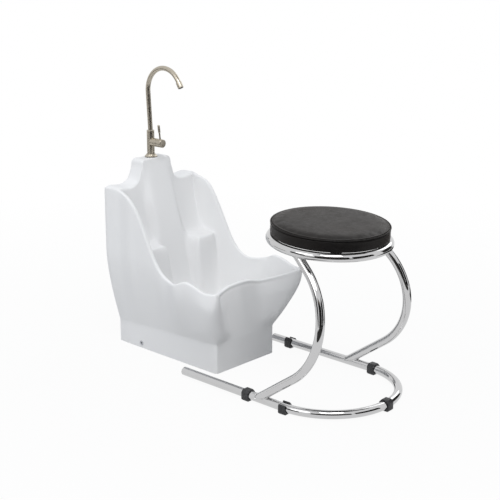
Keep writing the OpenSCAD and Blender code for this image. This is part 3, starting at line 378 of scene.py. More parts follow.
def rolled_rim(s):
    """Distance s in from the rim's outer edge: a quarter round of EDGE_R on both sides of a level lip."""
    near = np.minimum(s, rim_width - s)
    rise = EDGE_R * np.sqrt(np.maximum(0, 1 - np.maximum(0, 1 - near / EDGE_R) ** 2))
    t = s / rim_width
    plan = blend_between(rim[:, :2], rim_in, t[:, None])
    return np.column_stack([plan, rim[:, 2] - EDGE_R + rise - rim_fall * t])


COLUMN_SLOPE, COLUMN_KNEE, COLUMN_FOOT, COLUMN_SIDE = 3.63, 0.100, 0.110, 0.028
COLUMN_TOP = DECK_H - 0.002
knee_h = COLUMN_TOP - COLUMN_SLOPE * COLUMN_KNEE
LEDGE_SLOPE, LEDGE_DROP = 0.004, 0.105
BOWL_POWER, SHOULDER_POWER, LEDGE_POWER = 2.6, 1.7, 6
SHOULDER_DIP = 0.016
FLOOR_FALL = 0.006


def bowl_back(x, y):
    """Height of the bowl's back: the column is a straight slope down to its knee and a 2.6-power curve
    below it; the channel beside it falls from the shoulder to the ledge and then as a 6th power."""
    t = column_top_y - y
    low = FLOOR_H + (knee_h - FLOOR_H) * np.maximum(0, 1 - (t - COLUMN_KNEE) / COLUMN_FOOT) ** BOWL_POWER
    column = np.where(t < COLUMN_KNEE, COLUMN_TOP - COLUMN_SLOPE * t, low)
    fall = 1 - (1 - np.clip(t / (column_top_y - LEDGE_BACK_Y), 0, 1)) ** SHOULDER_POWER
    s = (y - LEDGE_FRONT_Y) / (LEDGE_BACK_Y - LEDGE_FRONT_Y)
    above = blend_between(SHOULDER_H - SHOULDER_DIP, LEDGE_H + LEDGE_SLOPE / 2, fall)
    below = (FLOOR_H + (LEDGE_H - LEDGE_SLOPE / 2 - FLOOR_H)
             * np.clip(1 - (LEDGE_FRONT_Y - y) / LEDGE_DROP, 0, 1) ** LEDGE_POWER)
    channel = np.where(s > 1, above, np.where(s > 0, LEDGE_H + LEDGE_SLOPE * (s - 0.5), below))
    return blend_between(column, channel, ease((np.abs(x) - COLUMN_HALF + COLUMN_SIDE / 2) / COLUMN_SIDE))


steps_in = np.linalg.norm(np.roll(rim_in, -1, 0) - rim_in, axis=1)
way = np.pi / 2 - 2 * np.pi * np.concatenate([[0], np.cumsum(steps_in)[:-1]]) / steps_in.sum()
floor_edge = np.column_stack([FLOOR_R * np.cos(way), DRAIN_Y + FLOOR_R * np.sin(way)])
LEAST_CROSS, EDGE_STEP = 0.2, 0.54
crosses = np.where(rim_in[:, 1] > LEDGE_FRONT_Y,
                   np.maximum(LEAST_CROSS, (rim_in[:, 1] - LEDGE_FRONT_Y)
                              / np.maximum(1e-6, rim_in[:, 1] - floor_edge[:, 1])), LEAST_CROSS)
GLAZE_FILLET = 0.010         # how softly the glazed walls run into each other


def bowl_wall(step):
    """Share of the way in from the rim: the side wall is a 2.6-power fall to the floor, joined to the
    bowl's back by a soft maximum, half of a + b + root((a - b) squared + fillet squared)."""
    g = np.where(step < EDGE_STEP, crosses * step / EDGE_STEP,
                 blend_between(crosses, 1, (step - EDGE_STEP) / (1 - EDGE_STEP)))
    plan = blend_between(rim_in, floor_edge, g[:, None])
    top = rim[:, 2] - EDGE_R - rim_fall
    side = (FLOOR_H + FLOOR_FALL * (1 - g)
            + (top - FLOOR_H - FLOOR_FALL) * np.maximum(0, 1 - 2 * g) ** BOWL_POWER)
    rear = bowl_back(plan[:, 0], plan[:, 1])
    soft = GLAZE_FILLET * ease(g / 0.05) * ease((1 - g) / 0.2)
    z = (side + rear + np.sqrt((side - rear) ** 2 + soft ** 2)) / 2
    return np.column_stack([plan, np.minimum(top, z)])


def relaxed(grid, rounds, held_first, held_last):
    """A grid of rings, smoothed: each point moves a third of the way to the mean of its four neighbours,
    for some rounds, and the first and last rings are held."""
    grid = grid.copy()
    inner = slice(held_first, len(grid) - held_last)
    for _ in range(rounds):
        mean = (grid[:-2] + grid[2:] + np.roll(grid, 1, 1)[1:-1] + np.roll(grid, -1, 1)[1:-1]) / 4
        moved = grid.copy()
        moved[1:-1] += (mean - grid[1:-1]) / 3
        grid[inner] = moved[inner]
    return grid


KICK_BELOW = 0.009
flare_v = np.linspace(0, 1, 46) ** 1.15
lip_s = [0.0004, 0.0012, 0.0022, 0.0036, EDGE_R]
bowl_g = np.concatenate([np.linspace(0, EDGE_STEP, 44)[1:], np.linspace(EDGE_STEP, 1, 34)[1:]])
kick_ring = np.column_stack([foot[:, :2], kick_h - KICK_BELOW])
plinth = [np.column_stack([foot[:, :2], z * (kick_h - KICK_BELOW)]) for z in (0, 0.03, 0.3, 0.6, 0.85)]
outer = relaxed(np.stack([kick_ring] + [outer_wall(v) for v in flare_v]), 3, 1, 3)
lip = ([rolled_rim(np.full(len(rim), s)) for s in lip_s]
       + [rolled_rim(blend_between(EDGE_R, rim_width - EDGE_R, t)) for t in (0.25, 0.5, 0.75)]
       + [rolled_rim(rim_width - s) for s in lip_s[::-1]] + [rolled_rim(rim_width)])
bowl = relaxed(np.stack([lip[-1]] + [bowl_wall(g) for g in bowl_g]), 14, 1, 1)[1:]
rings = np.concatenate([np.stack(plinth), outer, np.stack(lip), bowl])


def grid_faces(rows, cols, rows_close=False, cols_close=True):
    """Quads between neighbours of a grid of points, numbered row by row; closed ways run on to the start."""
    r = np.arange(rows if rows_close else rows - 1)[:, None]
    c = np.arange(cols if cols_close else cols - 1)[None]
    r2, c2 = (r + 1) % rows, (c + 1) % cols
    corners = np.broadcast_arrays(r * cols + c, r * cols + c2, r2 * cols + c2, r2 * cols + c)
    return np.stack(corners, -1).reshape(-1, 4).tolist()


def capped_rings(grid, first_middle, last_middle):
    """Points and faces of a closed solid: rings of points, with a fan to a middle point at each end."""
    rows, cols = grid.shape[:2]
    points = np.vstack([grid.reshape(-1, 3), first_middle, last_middle])
    j = np.arange(cols)
    k = (j + 1) % cols
    first = np.stack([np.full(cols, rows * cols), k, j], 1)
    last = np.stack([np.full(cols, rows * cols + 1), (rows - 1) * cols + j, (rows - 1) * cols + k], 1)
    return points, grid_faces(rows, cols) + first.tolist() + last.tolist()


def facing_out(points, faces):
    """The faces of a closed solid, turned round if its volume, a sum of tetrahedra, comes out negative."""
    p = np.asarray(points, float)
    volume = 0.0
    for size in {len(f) for f in faces}:
        f = np.array([g for g in faces if len(g) == size])
        for k in range(1, size - 1):
            volume += np.einsum("ij,ij->", p[f[:, 0]], np.cross(p[f[:, k]], p[f[:, k + 1]]))
    return [g[::-1] for g in faces] if volume < 0 else faces


SMOOTH_BELOW = 38            # degrees between faces up to which an edge is shaded round


def shaded(obj, angle=SMOOTH_BELOW):
    """Round shading, with edges sharper than the angle kept crisp."""
    mesh = obj.data
    mesh.polygons.foreach_set("use_smooth", np.ones(len(mesh.polygons), bool))
    mesh.set_sharp_from_angle(angle=math.radians(angle))
    mesh.update()
    return obj


def joined(piece, body, slot, *replaced):
    """Puts the piece on its body, in the place of the nodes that it stands for; the slot is not used."""
    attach(piece, body)
    if replaced:
        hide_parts(*replaced)
    return piece


def lathe(profile, turns=64, at=(0, 0, 0), axis=(0, 0, 1), closed=False):
    """A profile of (radius, height) turned about an axis: the point at angle a is
    at + height * axis + radius * (cos a * u + sin a * v). A closed profile makes a ring."""
    profile = np.asarray(profile, float)
    w = np.array(axis, float) / np.linalg.norm(axis)
    u = np.cross(w, [0, 0, 1]) if abs(w[2]) < 0.9 else np.cross(w, [0, 1, 0])
    u /= np.linalg.norm(u)
    v = np.cross(w, u)
    a = np.arange(turns) * 2 * np.pi / turns
    r, h = profile[:, 0, None, None], profile[:, 1, None, None]
    grid = np.array(at) + h * w + r * (np.cos(a)[None, :, None] * u + np.sin(a)[None, :, None] * v)
    if closed:
        return grid.reshape(-1, 3), grid_faces(len(profile), turns, rows_close=True)
    return capped_rings(grid, np.array(at) + profile[0, 1] * w, np.array(at) + profile[-1, 1] * w)


def cut(piece, name, points, faces):
    """Takes another closed solid away from the piece."""
    tool = plain_mesh(name, points, facing_out(points, faces))
    change = piece.modifiers.new(name, "BOOLEAN")
    change.operation = "DIFFERENCE"
    change.solver = "MANIFOLD"
    change.object = tool
    bpy.context.view_layer.update()
    result = bpy.data.meshes.new_from_object(piece.evaluated_get(bpy.context.evaluated_depsgraph_get()))
    piece.modifiers.clear()
    old, piece.data = piece.data, result
    bpy.data.meshes.remove(old)
    bpy.data.meshes.remove(tool.data)


def prism(outline, axis, start, end):
    """An outline carried straight along X, Y or Z: its two values are the other two coordinates in order."""
    outline = np.asarray(outline, float)
    ends = np.stack([np.insert(outline, axis, where, axis=1) for where in (start, end)])
    return capped_rings(ends, ends[0].mean(0), ends[1].mean(0))


def rounded(corners, radii, steps=5):
    """A closed outline with each corner replaced by an arc of its radius, that touches both of its sides."""
    corners = np.asarray(corners, float)
    out = []
    for k, (p, r) in enumerate(zip(corners, np.broadcast_to(radii, len(corners)))):
        if r <= 0:
            out.append(p[None])
            continue
        a, b = corners[k - 1] - p, corners[(k + 1) % len(corners)] - p
        a, b = a / np.linalg.norm(a), b / np.linalg.norm(b)
        half = math.acos(np.clip(a @ b, -1, 1)) / 2
        way = (a + b) / np.linalg.norm(a + b)
        centre = p + way * r / math.sin(half)
        first, last = p + a * r / math.tan(half) - centre, p + b * r / math.tan(half) - centre
        turn = math.atan2(first[0] * last[1] - first[1] * last[0], first @ last)
        t = np.linspace(0, turn, steps + 1)[:, None]
        side = np.array([-first[1], first[0]])
        out.append(centre + first * np.cos(t) + side * np.sin(t))
    return np.vstack(out)


points, faces = capped_rings(rings, [[0, (PLINTH_FRONT_Y + BACK_Y) / 2, 0]], [[0, DRAIN_Y, FLOOR_H]])
basin = plain_mesh("basin", points, facing_out(points, faces))
under_floor, chamber_top = FLOOR_H - 0.016, SHOULDER_H - 0.033
wall_in = BACK_Y - CHINA_WALL
room_half = PLINTH_HALF - CHINA_WALL
hollow = rounded([(PLINTH_FRONT_Y + CHINA_WALL, -0.001), (wall_in, -0.001), (wall_in, chamber_top),
                  (column_top_y + 0.019, chamber_top), (LEDGE_BACK_Y + 0.020, LEDGE_H - 0.014),
                  (LEDGE_BACK_Y - 0.010, LEDGE_H - 0.096), (LEDGE_BACK_Y - 0.036, LEDGE_H - 0.170),
                  (LEDGE_FRONT_Y - 0.018, under_floor), (PLINTH_FRONT_Y + CHINA_WALL, under_floor)],
                 [0, 0, .012, .008, .02, .02, .01, .008, .012])
cut(basin, "hollow", *prism(hollow, 0, -room_half, room_half))


def box_outline(half, low, high, radii):
    """A rectangle as wide as twice `half`, from low to high, with its four corners rounded."""
    return rounded([(-half, low), (half, low), (half, high), (-half, high)], radii)


CHAMBER_HALF, CHAMBER_END, CHAMBER_R, DECK_WALL = 0.044, 0.010, 0.006, 0.012
cut(basin, "deck_chamber", *prism(
    box_outline(CHAMBER_HALF, column_top_y + CHAMBER_END, BACK_Y - CHAMBER_END, CHAMBER_R),
    2, chamber_top - 0.010, DECK_H - DECK_WALL))
PIPE_GAP_HALF, PIPE_GAP_H, PIPE_GAP_R = 0.065, 0.095, 0.012
cut(basin, "pipe_gap", *prism(box_outline(PIPE_GAP_HALF, -0.001, PIPE_GAP_H, [0, 0, PIPE_GAP_R, PIPE_GAP_R]),
                              1, BACK_Y - 0.014, BACK_Y + 0.001))
TAP_Y = BACK_Y - 0.026
TAP_HOLE_R, DRAIN_HOLE_R, DRAIN_SEAT_R, DRAIN_SEAT = 0.011, 0.023, 0.035, 0.003
SIDE_SCREW_Y, SIDE_SCREW_H, SIDE_HOLE_R = 0.383, 0.016, 0.0055
side_in_x = PLINTH_HALF - 0.013
for name, r, at, axis, length in [
        ("tap_hole", TAP_HOLE_R, (0, TAP_Y, DECK_H - 0.024), (0, 0, 1), 0.036),
        ("drain_hole", DRAIN_HOLE_R, (0, DRAIN_Y, 0), (0, 0, 1), FLOOR_H + 0.020),
        ("drain_seat", DRAIN_SEAT_R, (0, DRAIN_Y, FLOOR_H - DRAIN_SEAT), (0, 0, 1), 0.020),
        ("right_hole", SIDE_HOLE_R, (side_in_x, SIDE_SCREW_Y, SIDE_SCREW_H), (1, 0, 0), 0.014),
        ("left_hole", SIDE_HOLE_R, (-side_in_x, SIDE_SCREW_Y, SIDE_SCREW_H), (-1, 0, 0), 0.014)]:
    cut(basin, name, *lathe([(r, 0), (r, length)], 48, at, axis))
shaded(basin, 42)


def noise(tree, where, scale, detail=3.0, roughness=0.55, stretch=None):
    """Fractal noise over a place in metres; stretch multiplies its three ways."""
    if stretch:
        where = add(tree, "ShaderNodeVectorMath", {0: where, 1: stretch}, operation="MULTIPLY").outputs[0]
    return add(tree, "ShaderNodeTexNoise",
               {"Vector": where, "Scale": scale, "Detail": detail, "Roughness": roughness}).outputs["Fac"]


def span(tree, value, low, high, to_low=0.0, to_high=1.0):
    """A value mapped from one span to another, held at its ends."""
    return add(tree, "ShaderNodeMapRange", {"Value": value, "From Min": low, "From Max": high,
                                            "To Min": to_low, "To Max": to_high}).outputs["Result"]


def combined(tree, a, b, operation="MULTIPLY"):
    """Two values through one Math node."""
    return add(tree, "ShaderNodeMath", {0: a, 1: b}, operation=operation).outputs[0]


def plus(tree, value, more, share):
    """A value and a share of another."""
    return combined(tree, value, combined(tree, more, share), "ADD")


def layered(tree, tone, *layers):
    """A tone with colours laid over it in turn: each layer is a mask, the share of it and a colour."""
    for mask, share, colour in layers:
        tone = add(tree, "ShaderNodeMix", {0: combined(tree, mask, share), 6: tone, 7: colour},
                   data_type="RGBA").outputs[2]
    return tone


def darker(colour, share):
    """A colour with all three parts multiplied by a share."""
    return tuple(share * v for v in colour)


def bump(tree, height, strength, distance):
    """A normal tipped by a height."""
    return add(tree, "ShaderNodeBump",
               {"Height": height, "Strength": strength, "Distance": distance}).outputs["Normal"]


def surface(name):
    """A new material for a piece, its node tree, and the point in metres on the piece at rest."""
    material, tree = new_material(name)
    return material, tree, add(tree, "ShaderNodeTexCoord").outputs["Object"]


def finished(material, tree, **sockets):
    """Ends the material in one Principled shader; sockets are its inputs with _ for a space."""
    shader = add(tree, "ShaderNodeBsdfPrincipled", {k.replace("_", " "): v for k, v in sockets.items()})
    add(tree, "ShaderNodeOutputMaterial", {0: shader.outputs[0]})
    return material


# Handling and cleaning leave faint cloudy marks and specks on every smooth surface of the set.
SPECKS_FINER = 22.0
marks_group = bpy.data.node_groups.new("handling marks", "ShaderNodeTree")
for label, way, kind in (("Place", "INPUT", "Vector"), ("Size", "INPUT", "Float"),
                         ("Amount", "INPUT", "Float"), ("Marks", "OUTPUT", "Float"),
                         ("Specks", "OUTPUT", "Float")):
    marks_group.interface.new_socket(label, in_out=way, socket_type="NodeSocket" + kind)
given = marks_group.nodes.new("NodeGroupInput").outputs
put = marks_group.nodes.new("NodeGroupOutput").inputs
cloud = noise(marks_group, given["Place"], given["Size"], 5, 0.6)
dust = noise(marks_group, given["Place"], combined(marks_group, given["Size"], SPECKS_FINER), 2, 0.5)
for name, pattern, low, high in (("Marks", cloud, 0.46, 0.72), ("Specks", dust, 0.70, 0.78)):
    shown = span(marks_group, pattern, low, high)
    feed(marks_group, put[name], combined(marks_group, shown, given["Amount"]))


def marks(tree, where, size, amount):
    """The handling marks group, as (marks, specks)."""
    made = add(tree, "ShaderNodeGroup", {"Place": where, "Size": size, "Amount": amount},
               node_tree=marks_group)
    return made.outputs["Marks"], made.outputs["Specks"]


GLAZE_WHITE, PINHOLE, BARE_CHINA = (0.82, 0.84, 0.93), (0.36, 0.34, 0.32), (0.70, 0.66, 0.58)
glaze, tree, at = surface("white glaze")
depth = add(tree, "ShaderNodeSeparateXYZ", {0: at})
pooled = span(tree, noise(tree, at, 7, 4), 0.35, 0.65)
smudge = marks(tree, at, 16, 0.35)[0]
pin = add(tree, "ShaderNodeTexVoronoi", {"Vector": at, "Scale": 34.0})
pinhole = span(tree, pin.outputs["Distance"], 0.016, 0.028, 1, 0)
bare = span(tree, depth.outputs["Z"], 0.0015, 0.0035, 1, 0)
tint = layered(tree, GLAZE_WHITE, (pooled, 1, darker(GLAZE_WHITE, 0.97)), (pinhole, 0.35, PINHOLE),
               (bare, 1, BARE_CHINA))
rough = plus(tree, span(tree, smudge, 0, 0.35, 0.07, 0.15), bare, 0.6)
ripple = plus(tree, noise(tree, at, 11, 2, 0.4), noise(tree, at, 160, 2, 0.5), 0.05)
skin = plus(tree, ripple, pinhole, -0.1)
finished(glaze, tree, Base_Color=tint, Roughness=rough, IOR=1.52, Coat_Weight=0.6, Coat_Roughness=0.03,
         Normal=bump(tree, skin, 0.35, 0.004))
basin.data.materials.append(glaze)
joined(basin, "basin", "white_glaze", "basin_shell")

# ---------------------------------------------------------------- drain
# A stainless flange and lift plug in the bowl, over rubber seals, with a plastic locknut and tail pipe
# under the china. All are turned or moulded parts, screwed together through the hole in the floor.


def brushed_steel(name, tint, way, fineness=1400.0, roughness=0.27):
    """Stainless steel brushed along a direction: noise drawn out along that way into fine lines."""
    material, tree, at = surface(name)
    lines = noise(tree, at, fineness / 20, 4, 0.7, [20.0 if not w else 0.5 for w in way])
    cloud, speck = marks(tree, at, 60, 0.5)
    tone = layered(tree, darker(tint, 0.92), (span(tree, lines, 0.25, 0.75), 1, tint),
                   (cloud, 0.5, darker(tint, 0.8)), (speck, 1, (0.2, 0.18, 0.15)))
    rough = plus(tree, span(tree, lines, 0.2, 0.8, roughness - 0.04, roughness + 0.04), cloud, 0.15)
    return finished(material, tree, Base_Color=tone, Metallic=1.0, Roughness=rough,
                    Normal=bump(tree, lines, 0.006, 0.0003))


def moulded(name, tint, roughness=0.45, grain=900.0, worn=None):
    """Moulded plastic or rubber: fine grain, flow marks in the tint, and paler scuffs."""
    material, tree, at = surface(name)
    flow = noise(tree, at, 45, 3)
    fine = noise(tree, at, grain, 2, 0.6)
    cloud = marks(tree, at, 70, 0.6)[0]
    scuffed = worn or tuple(min(1, 1.25 * v + 0.01) for v in tint)
    tone = layered(tree, darker(tint, 0.9), (span(tree, flow, 0.3, 0.7), 1, tint), (cloud, 0.5, scuffed))
    rough = plus(tree, span(tree, fine, 0.3, 0.7, roughness - 0.05, roughness + 0.05), cloud, 0.2)
    return finished(material, tree, Base_Color=tone, Roughness=rough, Specular_IOR_Level=0.4,
                    Normal=bump(tree, fine, 0.2, 0.0006))


def dressed(names, material):
    """Gives CAD nodes their material."""
    for name in names:
        node[name].data.materials.clear()
        node[name].data.materials.append(material)


STEEL_TINT = (0.47, 0.43, 0.36)
round_brushed = brushed_steel("steel brushed round", STEEL_TINT, (1, 1, 0))
rubber = moulded("black rubber", (0.028, 0.028, 0.03), 0.62, 1400.0)
pipe_plastic = moulded("white pipe plastic", (0.70, 0.70, 0.68), 0.35)
dressed(["drain_flange", "drain_plug"], round_brushed)
dressed(["flange_seal", "drain_gasket", "plug_seal"], rubber)
dressed(["drain_locknut", "drain_tailpiece"], pipe_plastic)

# ---------------------------------------------------------------- floor fixing
# Two pressed zinc angle brackets inside the plinth, each bolted to the floor, and a screw on each side
# that goes through the china into them. A grey plastic bush lines each hole and fills its mouth.


def cast_metal(name, tint, roughness=0.35):
    """Plated or machined small metal parts: cloudy oxide and dark specks."""
    material, tree, at = surface(name)
    oxide = noise(tree, at, 120, 5, 0.65)
    cloud, speck = marks(tree, at, 90, 0.7)
    tone = layered(tree, tint, (span(tree, oxide, 0.35, 0.75), 1, darker(tint, 0.72)),
                   (speck, 1, (0.12, 0.1, 0.08)))
    rough = plus(tree, span(tree, oxide, 0.3, 0.8, roughness, roughness + 0.2), cloud, 0.1)
    return finished(material, tree, Base_Color=tone, Metallic=1.0, Roughness=rough,
                    Normal=bump(tree, oxide, 0.15, 0.0005))


zinc = cast_metal("zinc plate", (0.60, 0.61, 0.62))
dressed(["fixing_brackets", "side_screws"], zinc)
dressed(["fixing_bushes"], moulded("grey bush plastic", (0.50, 0.51, 0.53), 0.4))

# ---------------------------------------------------------------- tap, below and inside
# A brass shank through the deck with its rubber washer, steel washer and nut, a ceramic-disc cartridge
# in the barrel behind a brass bonnet nut, and the bush and rings that the spout turns in.
brass = cast_metal("brass", (0.66, 0.48, 0.22), 0.28)
dressed(["tap_shank", "shank_nut", "valve_cartridge", "bonnet_nut", "cartridge_stem"], brass)
dressed(["tap_gasket", "shank_washer", "spout_orings", "aerator_washer"], rubber)
dressed(["shank_plate", "hub_screw"], zinc)
dressed(["spout_bush"], pipe_plastic)
dressed(["aerator_insert"], moulded("dark aerator plastic", (0.06, 0.06, 0.062), 0.5))

# ---------------------------------------------------------------- tap flange and body
# The flange is a pressed stainless cover, stepped down to its rim. The body is a length of brushed
# stainless bar, bored for the shank below and the spout above, with small chamfers at both ends.
WASHER_T, BODY_H = 0.0015, 0.081
BODY_Z = DECK_H + WASHER_T + 0.002
BODY_TOP = BODY_Z + BODY_H
SPOUT_R, SPOUT_WALL = 0.0075, 0.0012
MM = 0.001


def solid(name, points, faces, material, angle=SMOOTH_BELOW):
    """A closed piece at the origin, facing outwards."""
    return shaded(plain_mesh(name, points, facing_out(points, faces), material), angle)


def turned_piece(name, body, replaced, material, corners, at, axis=(0, 0, 1), turns=96, slot="satin_steel"):
    """A piece turned from a closed outline of corners: radius, height and edge radius in millimetres."""
    radius, height, edge = np.array(corners).T * MM
    outline = rounded(np.column_stack([radius, height]), edge, 4)
    piece = solid(name, *lathe(outline, turns, at, axis, closed=True), material, 30)
    joined(piece, body, slot, *replaced)


turned_piece("tap_cover", "basin", ["tap_flange"], round_brushed, [
    (8.5, 0, 0), (20, 0, .3), (20, 1.3, .5), (18.9, 2.8, .9), (16.3, 4.6, 1.2), (15.2, 7.5, .5),
    (12.1, 7.5, .2), (12.1, 2.2, 0), (8.5, 2.2, 0)], (0, TAP_Y, DECK_H + WASHER_T))
turned_piece("tap_upright", "basin", ["tap_body"], round_brushed, [
    (5, 0, 0), (12, 0, .6), (12, 76.6, .15), (11.5, 77.0, .1), (11.5, 77.5, .1), (12, 77.9, .15),
    (12, 81, .7), (9.1, 81, .3), (9.1, 51, 0), (5, 51, 0)], (0, TAP_Y, BODY_Z))

# ---------------------------------------------------------------- valve barrel, hub and lever
# The barrel points to the stool and carries the cartridge. The hub turns on its end with a flat face,
# and the lever is a steel rod screwed into the hub, with a thicker sleeve for the fingers.
BARREL_H = DECK_H + 0.048
MOUTH, HUB_LEN, HUB_CLEAR = 0.034, 0.0215, 0.0005
BARREL_AT, BARREL_WAY = (0, TAP_Y, BARREL_H), (0, -1, 0)
along_brushed = brushed_steel("steel brushed along", STEEL_TINT, (0, 0, 1))
face_brushed = brushed_steel("steel brushed hub", darker(STEEL_TINT, 0.93), (1, 0, 1))
turned_piece("valve_barrel", "basin", ["valve_housing"], face_brushed, [
    (4, 6.5, 0), (13, 6.5, .1), (13, 34, .5), (10, 34, .3), (10, 18, 0), (4, 18, 0)], BARREL_AT, BARREL_WAY)
turned_piece("lever_hub", "handle", ["handle_hub"], face_brushed, [
    (0.05, 39.5, 0), (0.05, 56.0, 0), (12.0, 56.0, .4), (13, 55.2, .8), (13, 34.5, .5), (11.6, 34.5, .3),
    (11.6, 39.5, 0)], BARREL_AT, BARREL_WAY)
LEVER_LEAN = math.radians(8)
lever_at = np.array([0, TAP_Y - MOUTH - HUB_CLEAR - HUB_LEN / 2, BARREL_H])
lever_way = np.array([0, math.sin(LEVER_LEAN), math.cos(LEVER_LEAN)])
turned_piece("lever", "handle", ["handle_lever"], along_brushed, [
    (0.02, 7, 0), (2.65, 7, .1), (2.65, 32.2, .3), (3.0, 32.6, .4), (3.8, 35, 1), (3.8, 57, 2.6),
    (0.02, 57, 0)], lever_at, lever_way, 48)

# ---------------------------------------------------------------- gooseneck spout
# One stainless tube, 15 mm across, bent to a hook that leans back a little. Its foot stands in the
# body's bush, and a mouthpiece with a rolled collar is pressed onto its end.


def path_of(start, heading, runs, step=0.004):
    """Points and headings along straights and arcs in one plane: runs are (length, 0) or (radius, turn)."""
    points, headings = [np.array(start, float)], [math.radians(heading)]
    for size, turn in runs:
        p, a = points[-1], headings[-1]
        if not turn:
            more = p + size * np.array([[math.cos(a), math.sin(a)]])
            angles = [a]
        else:
            turn = math.radians(turn)
            count = max(2, round(abs(turn) * size / step))
            angles = a + turn * np.arange(1, count + 1) / count
            side = math.copysign(1, turn)
            more = p + side * size * np.stack([np.sin(angles) - math.sin(a), math.cos(a) - np.cos(angles)], 1)
        points += list(more)
        headings += list(angles)
    return np.array(points), np.array(headings)


def plane_rings(points, headings, radius, sides):
    """Rings round a path in the YZ plane: (r cos u, y - r sin u sin h, z + r sin u cos h) at angle u."""
    u = 2 * np.pi * np.arange(sides) / sides
    r = np.broadcast_to(radius, len(points))[:, None]
    y, z, h = points[:, 0, None], points[:, 1, None], headings[:, None]
    return np.stack([r * np.cos(u), y - r * np.sin(u) * np.sin(h), z + r * np.sin(u) * np.cos(h)], -1)


def ring_solid(name, grid, material, angle=SMOOTH_BELOW):
    """A piece from rings of points, whose last ring meets the first."""
    return solid(name, grid.reshape(-1, 3), grid_faces(*grid.shape[:2], rows_close=True), material, angle)


def pipe(name, outer, inner, material):
    """A pipe's wall from its outer and inner rings, closed at both ends."""
    return ring_solid(name, np.concatenate([outer, inner[::-1]]), material, 40)


LEAN_R, LEAN, RISER, NECK_R, NECK_TURN = 0.060, 3.5, 0.116, 0.0737, 152
NECK_FOOT, NECK_END = 0.020, 0.010
neck_points, neck_headings = path_of(
    (TAP_Y, BODY_TOP - NECK_FOOT), 90,
    [(NECK_FOOT, 0), (LEAN_R, -LEAN), (RISER, 0), (NECK_R, NECK_TURN), (NECK_END, 0)])
outer, inner = (plane_rings(neck_points, neck_headings, r, 56) for r in (SPOUT_R, SPOUT_R - SPOUT_WALL))
joined(pipe("spout", outer, inner, along_brushed), "spout", "satin_steel", "spout_tube")
neck_end = np.array([0, *neck_points[-2]])
mouth_way = np.array([0, math.cos(neck_headings[-1]), math.sin(neck_headings[-1])])
turned_piece("mouthpiece", "spout", ["aerator_housing"], along_brushed, [
    (7.6, 2, .2), (8.7, 2, .4), (9, 2.5, .2), (9, 17.6, .2), (8.7, 18.0, .1), (8.7, 18.6, .1), (9, 19.0, .2),
    (9, 21, .5), (7.6, 21, .3)], neck_end, mouth_way)

# ---------------------------------------------------------------- floor loop
# One length of 25 mm steel tube with a 1.5 mm wall, bent to a half circle at the front and chromed.
# Its two rails run back along both sides of the basin's plinth.
TUBE_R, TUBE_WALL, CLIP_FOOT = 0.0125, 0.0015, 0.004
TUBE_H = TUBE_R + CLIP_FOOT
RAIL_HALF, RAIL_END_Y, BEND_Y = 0.200, 0.112, -0.271

CHROME, CHROME_HAZE, CHROME_SPECK = (0.56, 0.56, 0.565), (0.49, 0.48, 0.47), (0.25, 0.23, 0.21)
chrome, tree, at = surface("chrome")
cloud, speck = marks(tree, at, 24, 0.5)
haze = noise(tree, at, 300, 3, 0.6)
polish = noise(tree, at, 55, 2, 0.4)
tone = layered(tree, CHROME, (cloud, 0.35, CHROME_HAZE), (speck, 1, CHROME_SPECK))
rough = plus(tree, span(tree, haze, 0.3, 0.75, 0.035, 0.075), cloud, 0.12)
finished(chrome, tree, Base_Color=tone, Metallic=1.0, Roughness=rough,
         Normal=bump(tree, polish, 0.03, 0.0015))


def swept_rings(centres, ahead, radius, sides, over=(0, 0, 1)):
    """Rings round a path: centre + r (cos u * side + sin u * top), where side is square to the way ahead
    and to `over`, and top is square to both. The radius is one number or one for each centre."""
    side = np.cross(ahead, over)
    side /= np.linalg.norm(side, axis=1)[:, None]
    top = np.cross(side, ahead)
    u = 2 * np.pi * np.arange(sides) / sides
    r = np.broadcast_to(radius, len(centres))[:, None, None]
    return (centres[:, None] + r * (np.cos(u)[None, :, None] * side[:, None]
                                    + np.sin(u)[None, :, None] * top[:, None]))


RAIL_RINGS, TUBE_SIDES = 24, 48
rail_y = np.linspace(RAIL_END_Y, BEND_Y, RAIL_RINGS)
sweep = np.linspace(0, np.pi, 121)[1:-1]
centres = np.vstack([
    np.column_stack([np.full(RAIL_RINGS, -RAIL_HALF), rail_y]),
    np.column_stack([-RAIL_HALF * np.cos(sweep), BEND_Y - RAIL_HALF * np.sin(sweep)]),
    np.column_stack([np.full(RAIL_RINGS, RAIL_HALF), rail_y[::-1]])])
centres = np.column_stack([centres, np.full(len(centres), TUBE_H)])
ahead = np.gradient(centres, axis=0)
ahead /= np.linalg.norm(ahead, axis=1)[:, None]
ahead[:RAIL_RINGS], ahead[-RAIL_RINGS:] = (0, -1, 0), (0, 1, 0)
outer, inner = (swept_rings(centres, ahead, r, TUBE_SIDES) for r in (TUBE_R, TUBE_R - TUBE_WALL))
joined(pipe("floor_loop", outer, inner, chrome), "stool", "chromed_tube", "base_loop")

# ---------------------------------------------------------------- seat ring and legs
# The ring is the same tube bent to a full circle. Each leg is one C-shaped bend of tube, fish-mouthed
# onto its rail below and onto the underside of the ring above, and welded all round before chroming.
RING_R, RING_H, RING_Y, SEAT_TILT = 0.166, 0.453, -0.266, math.radians(2.9)


def about(axis, angle):
    """The turn by an angle about X, Y or Z, numbered 0, 1 and 2."""
    c, s = math.cos(angle), math.sin(angle)
    j, k = (axis + 1) % 3, (axis + 2) % 3
    turn = np.eye(3)
    turn[[j, k, j, k], [j, k, k, j]] = c, c, -s, s
    return turn


seat_turn = about(0, SEAT_TILT)


def in_seat(points):
    """From the seat's own frame, whose origin is the middle of the ring, to the room's."""
    return np.asarray(points) @ seat_turn.T + (0, RING_Y, RING_H)


def from_room(points):
    """From the room to the seat's own frame."""
    return (np.asarray(points) - (0, RING_Y, RING_H)) @ seat_turn


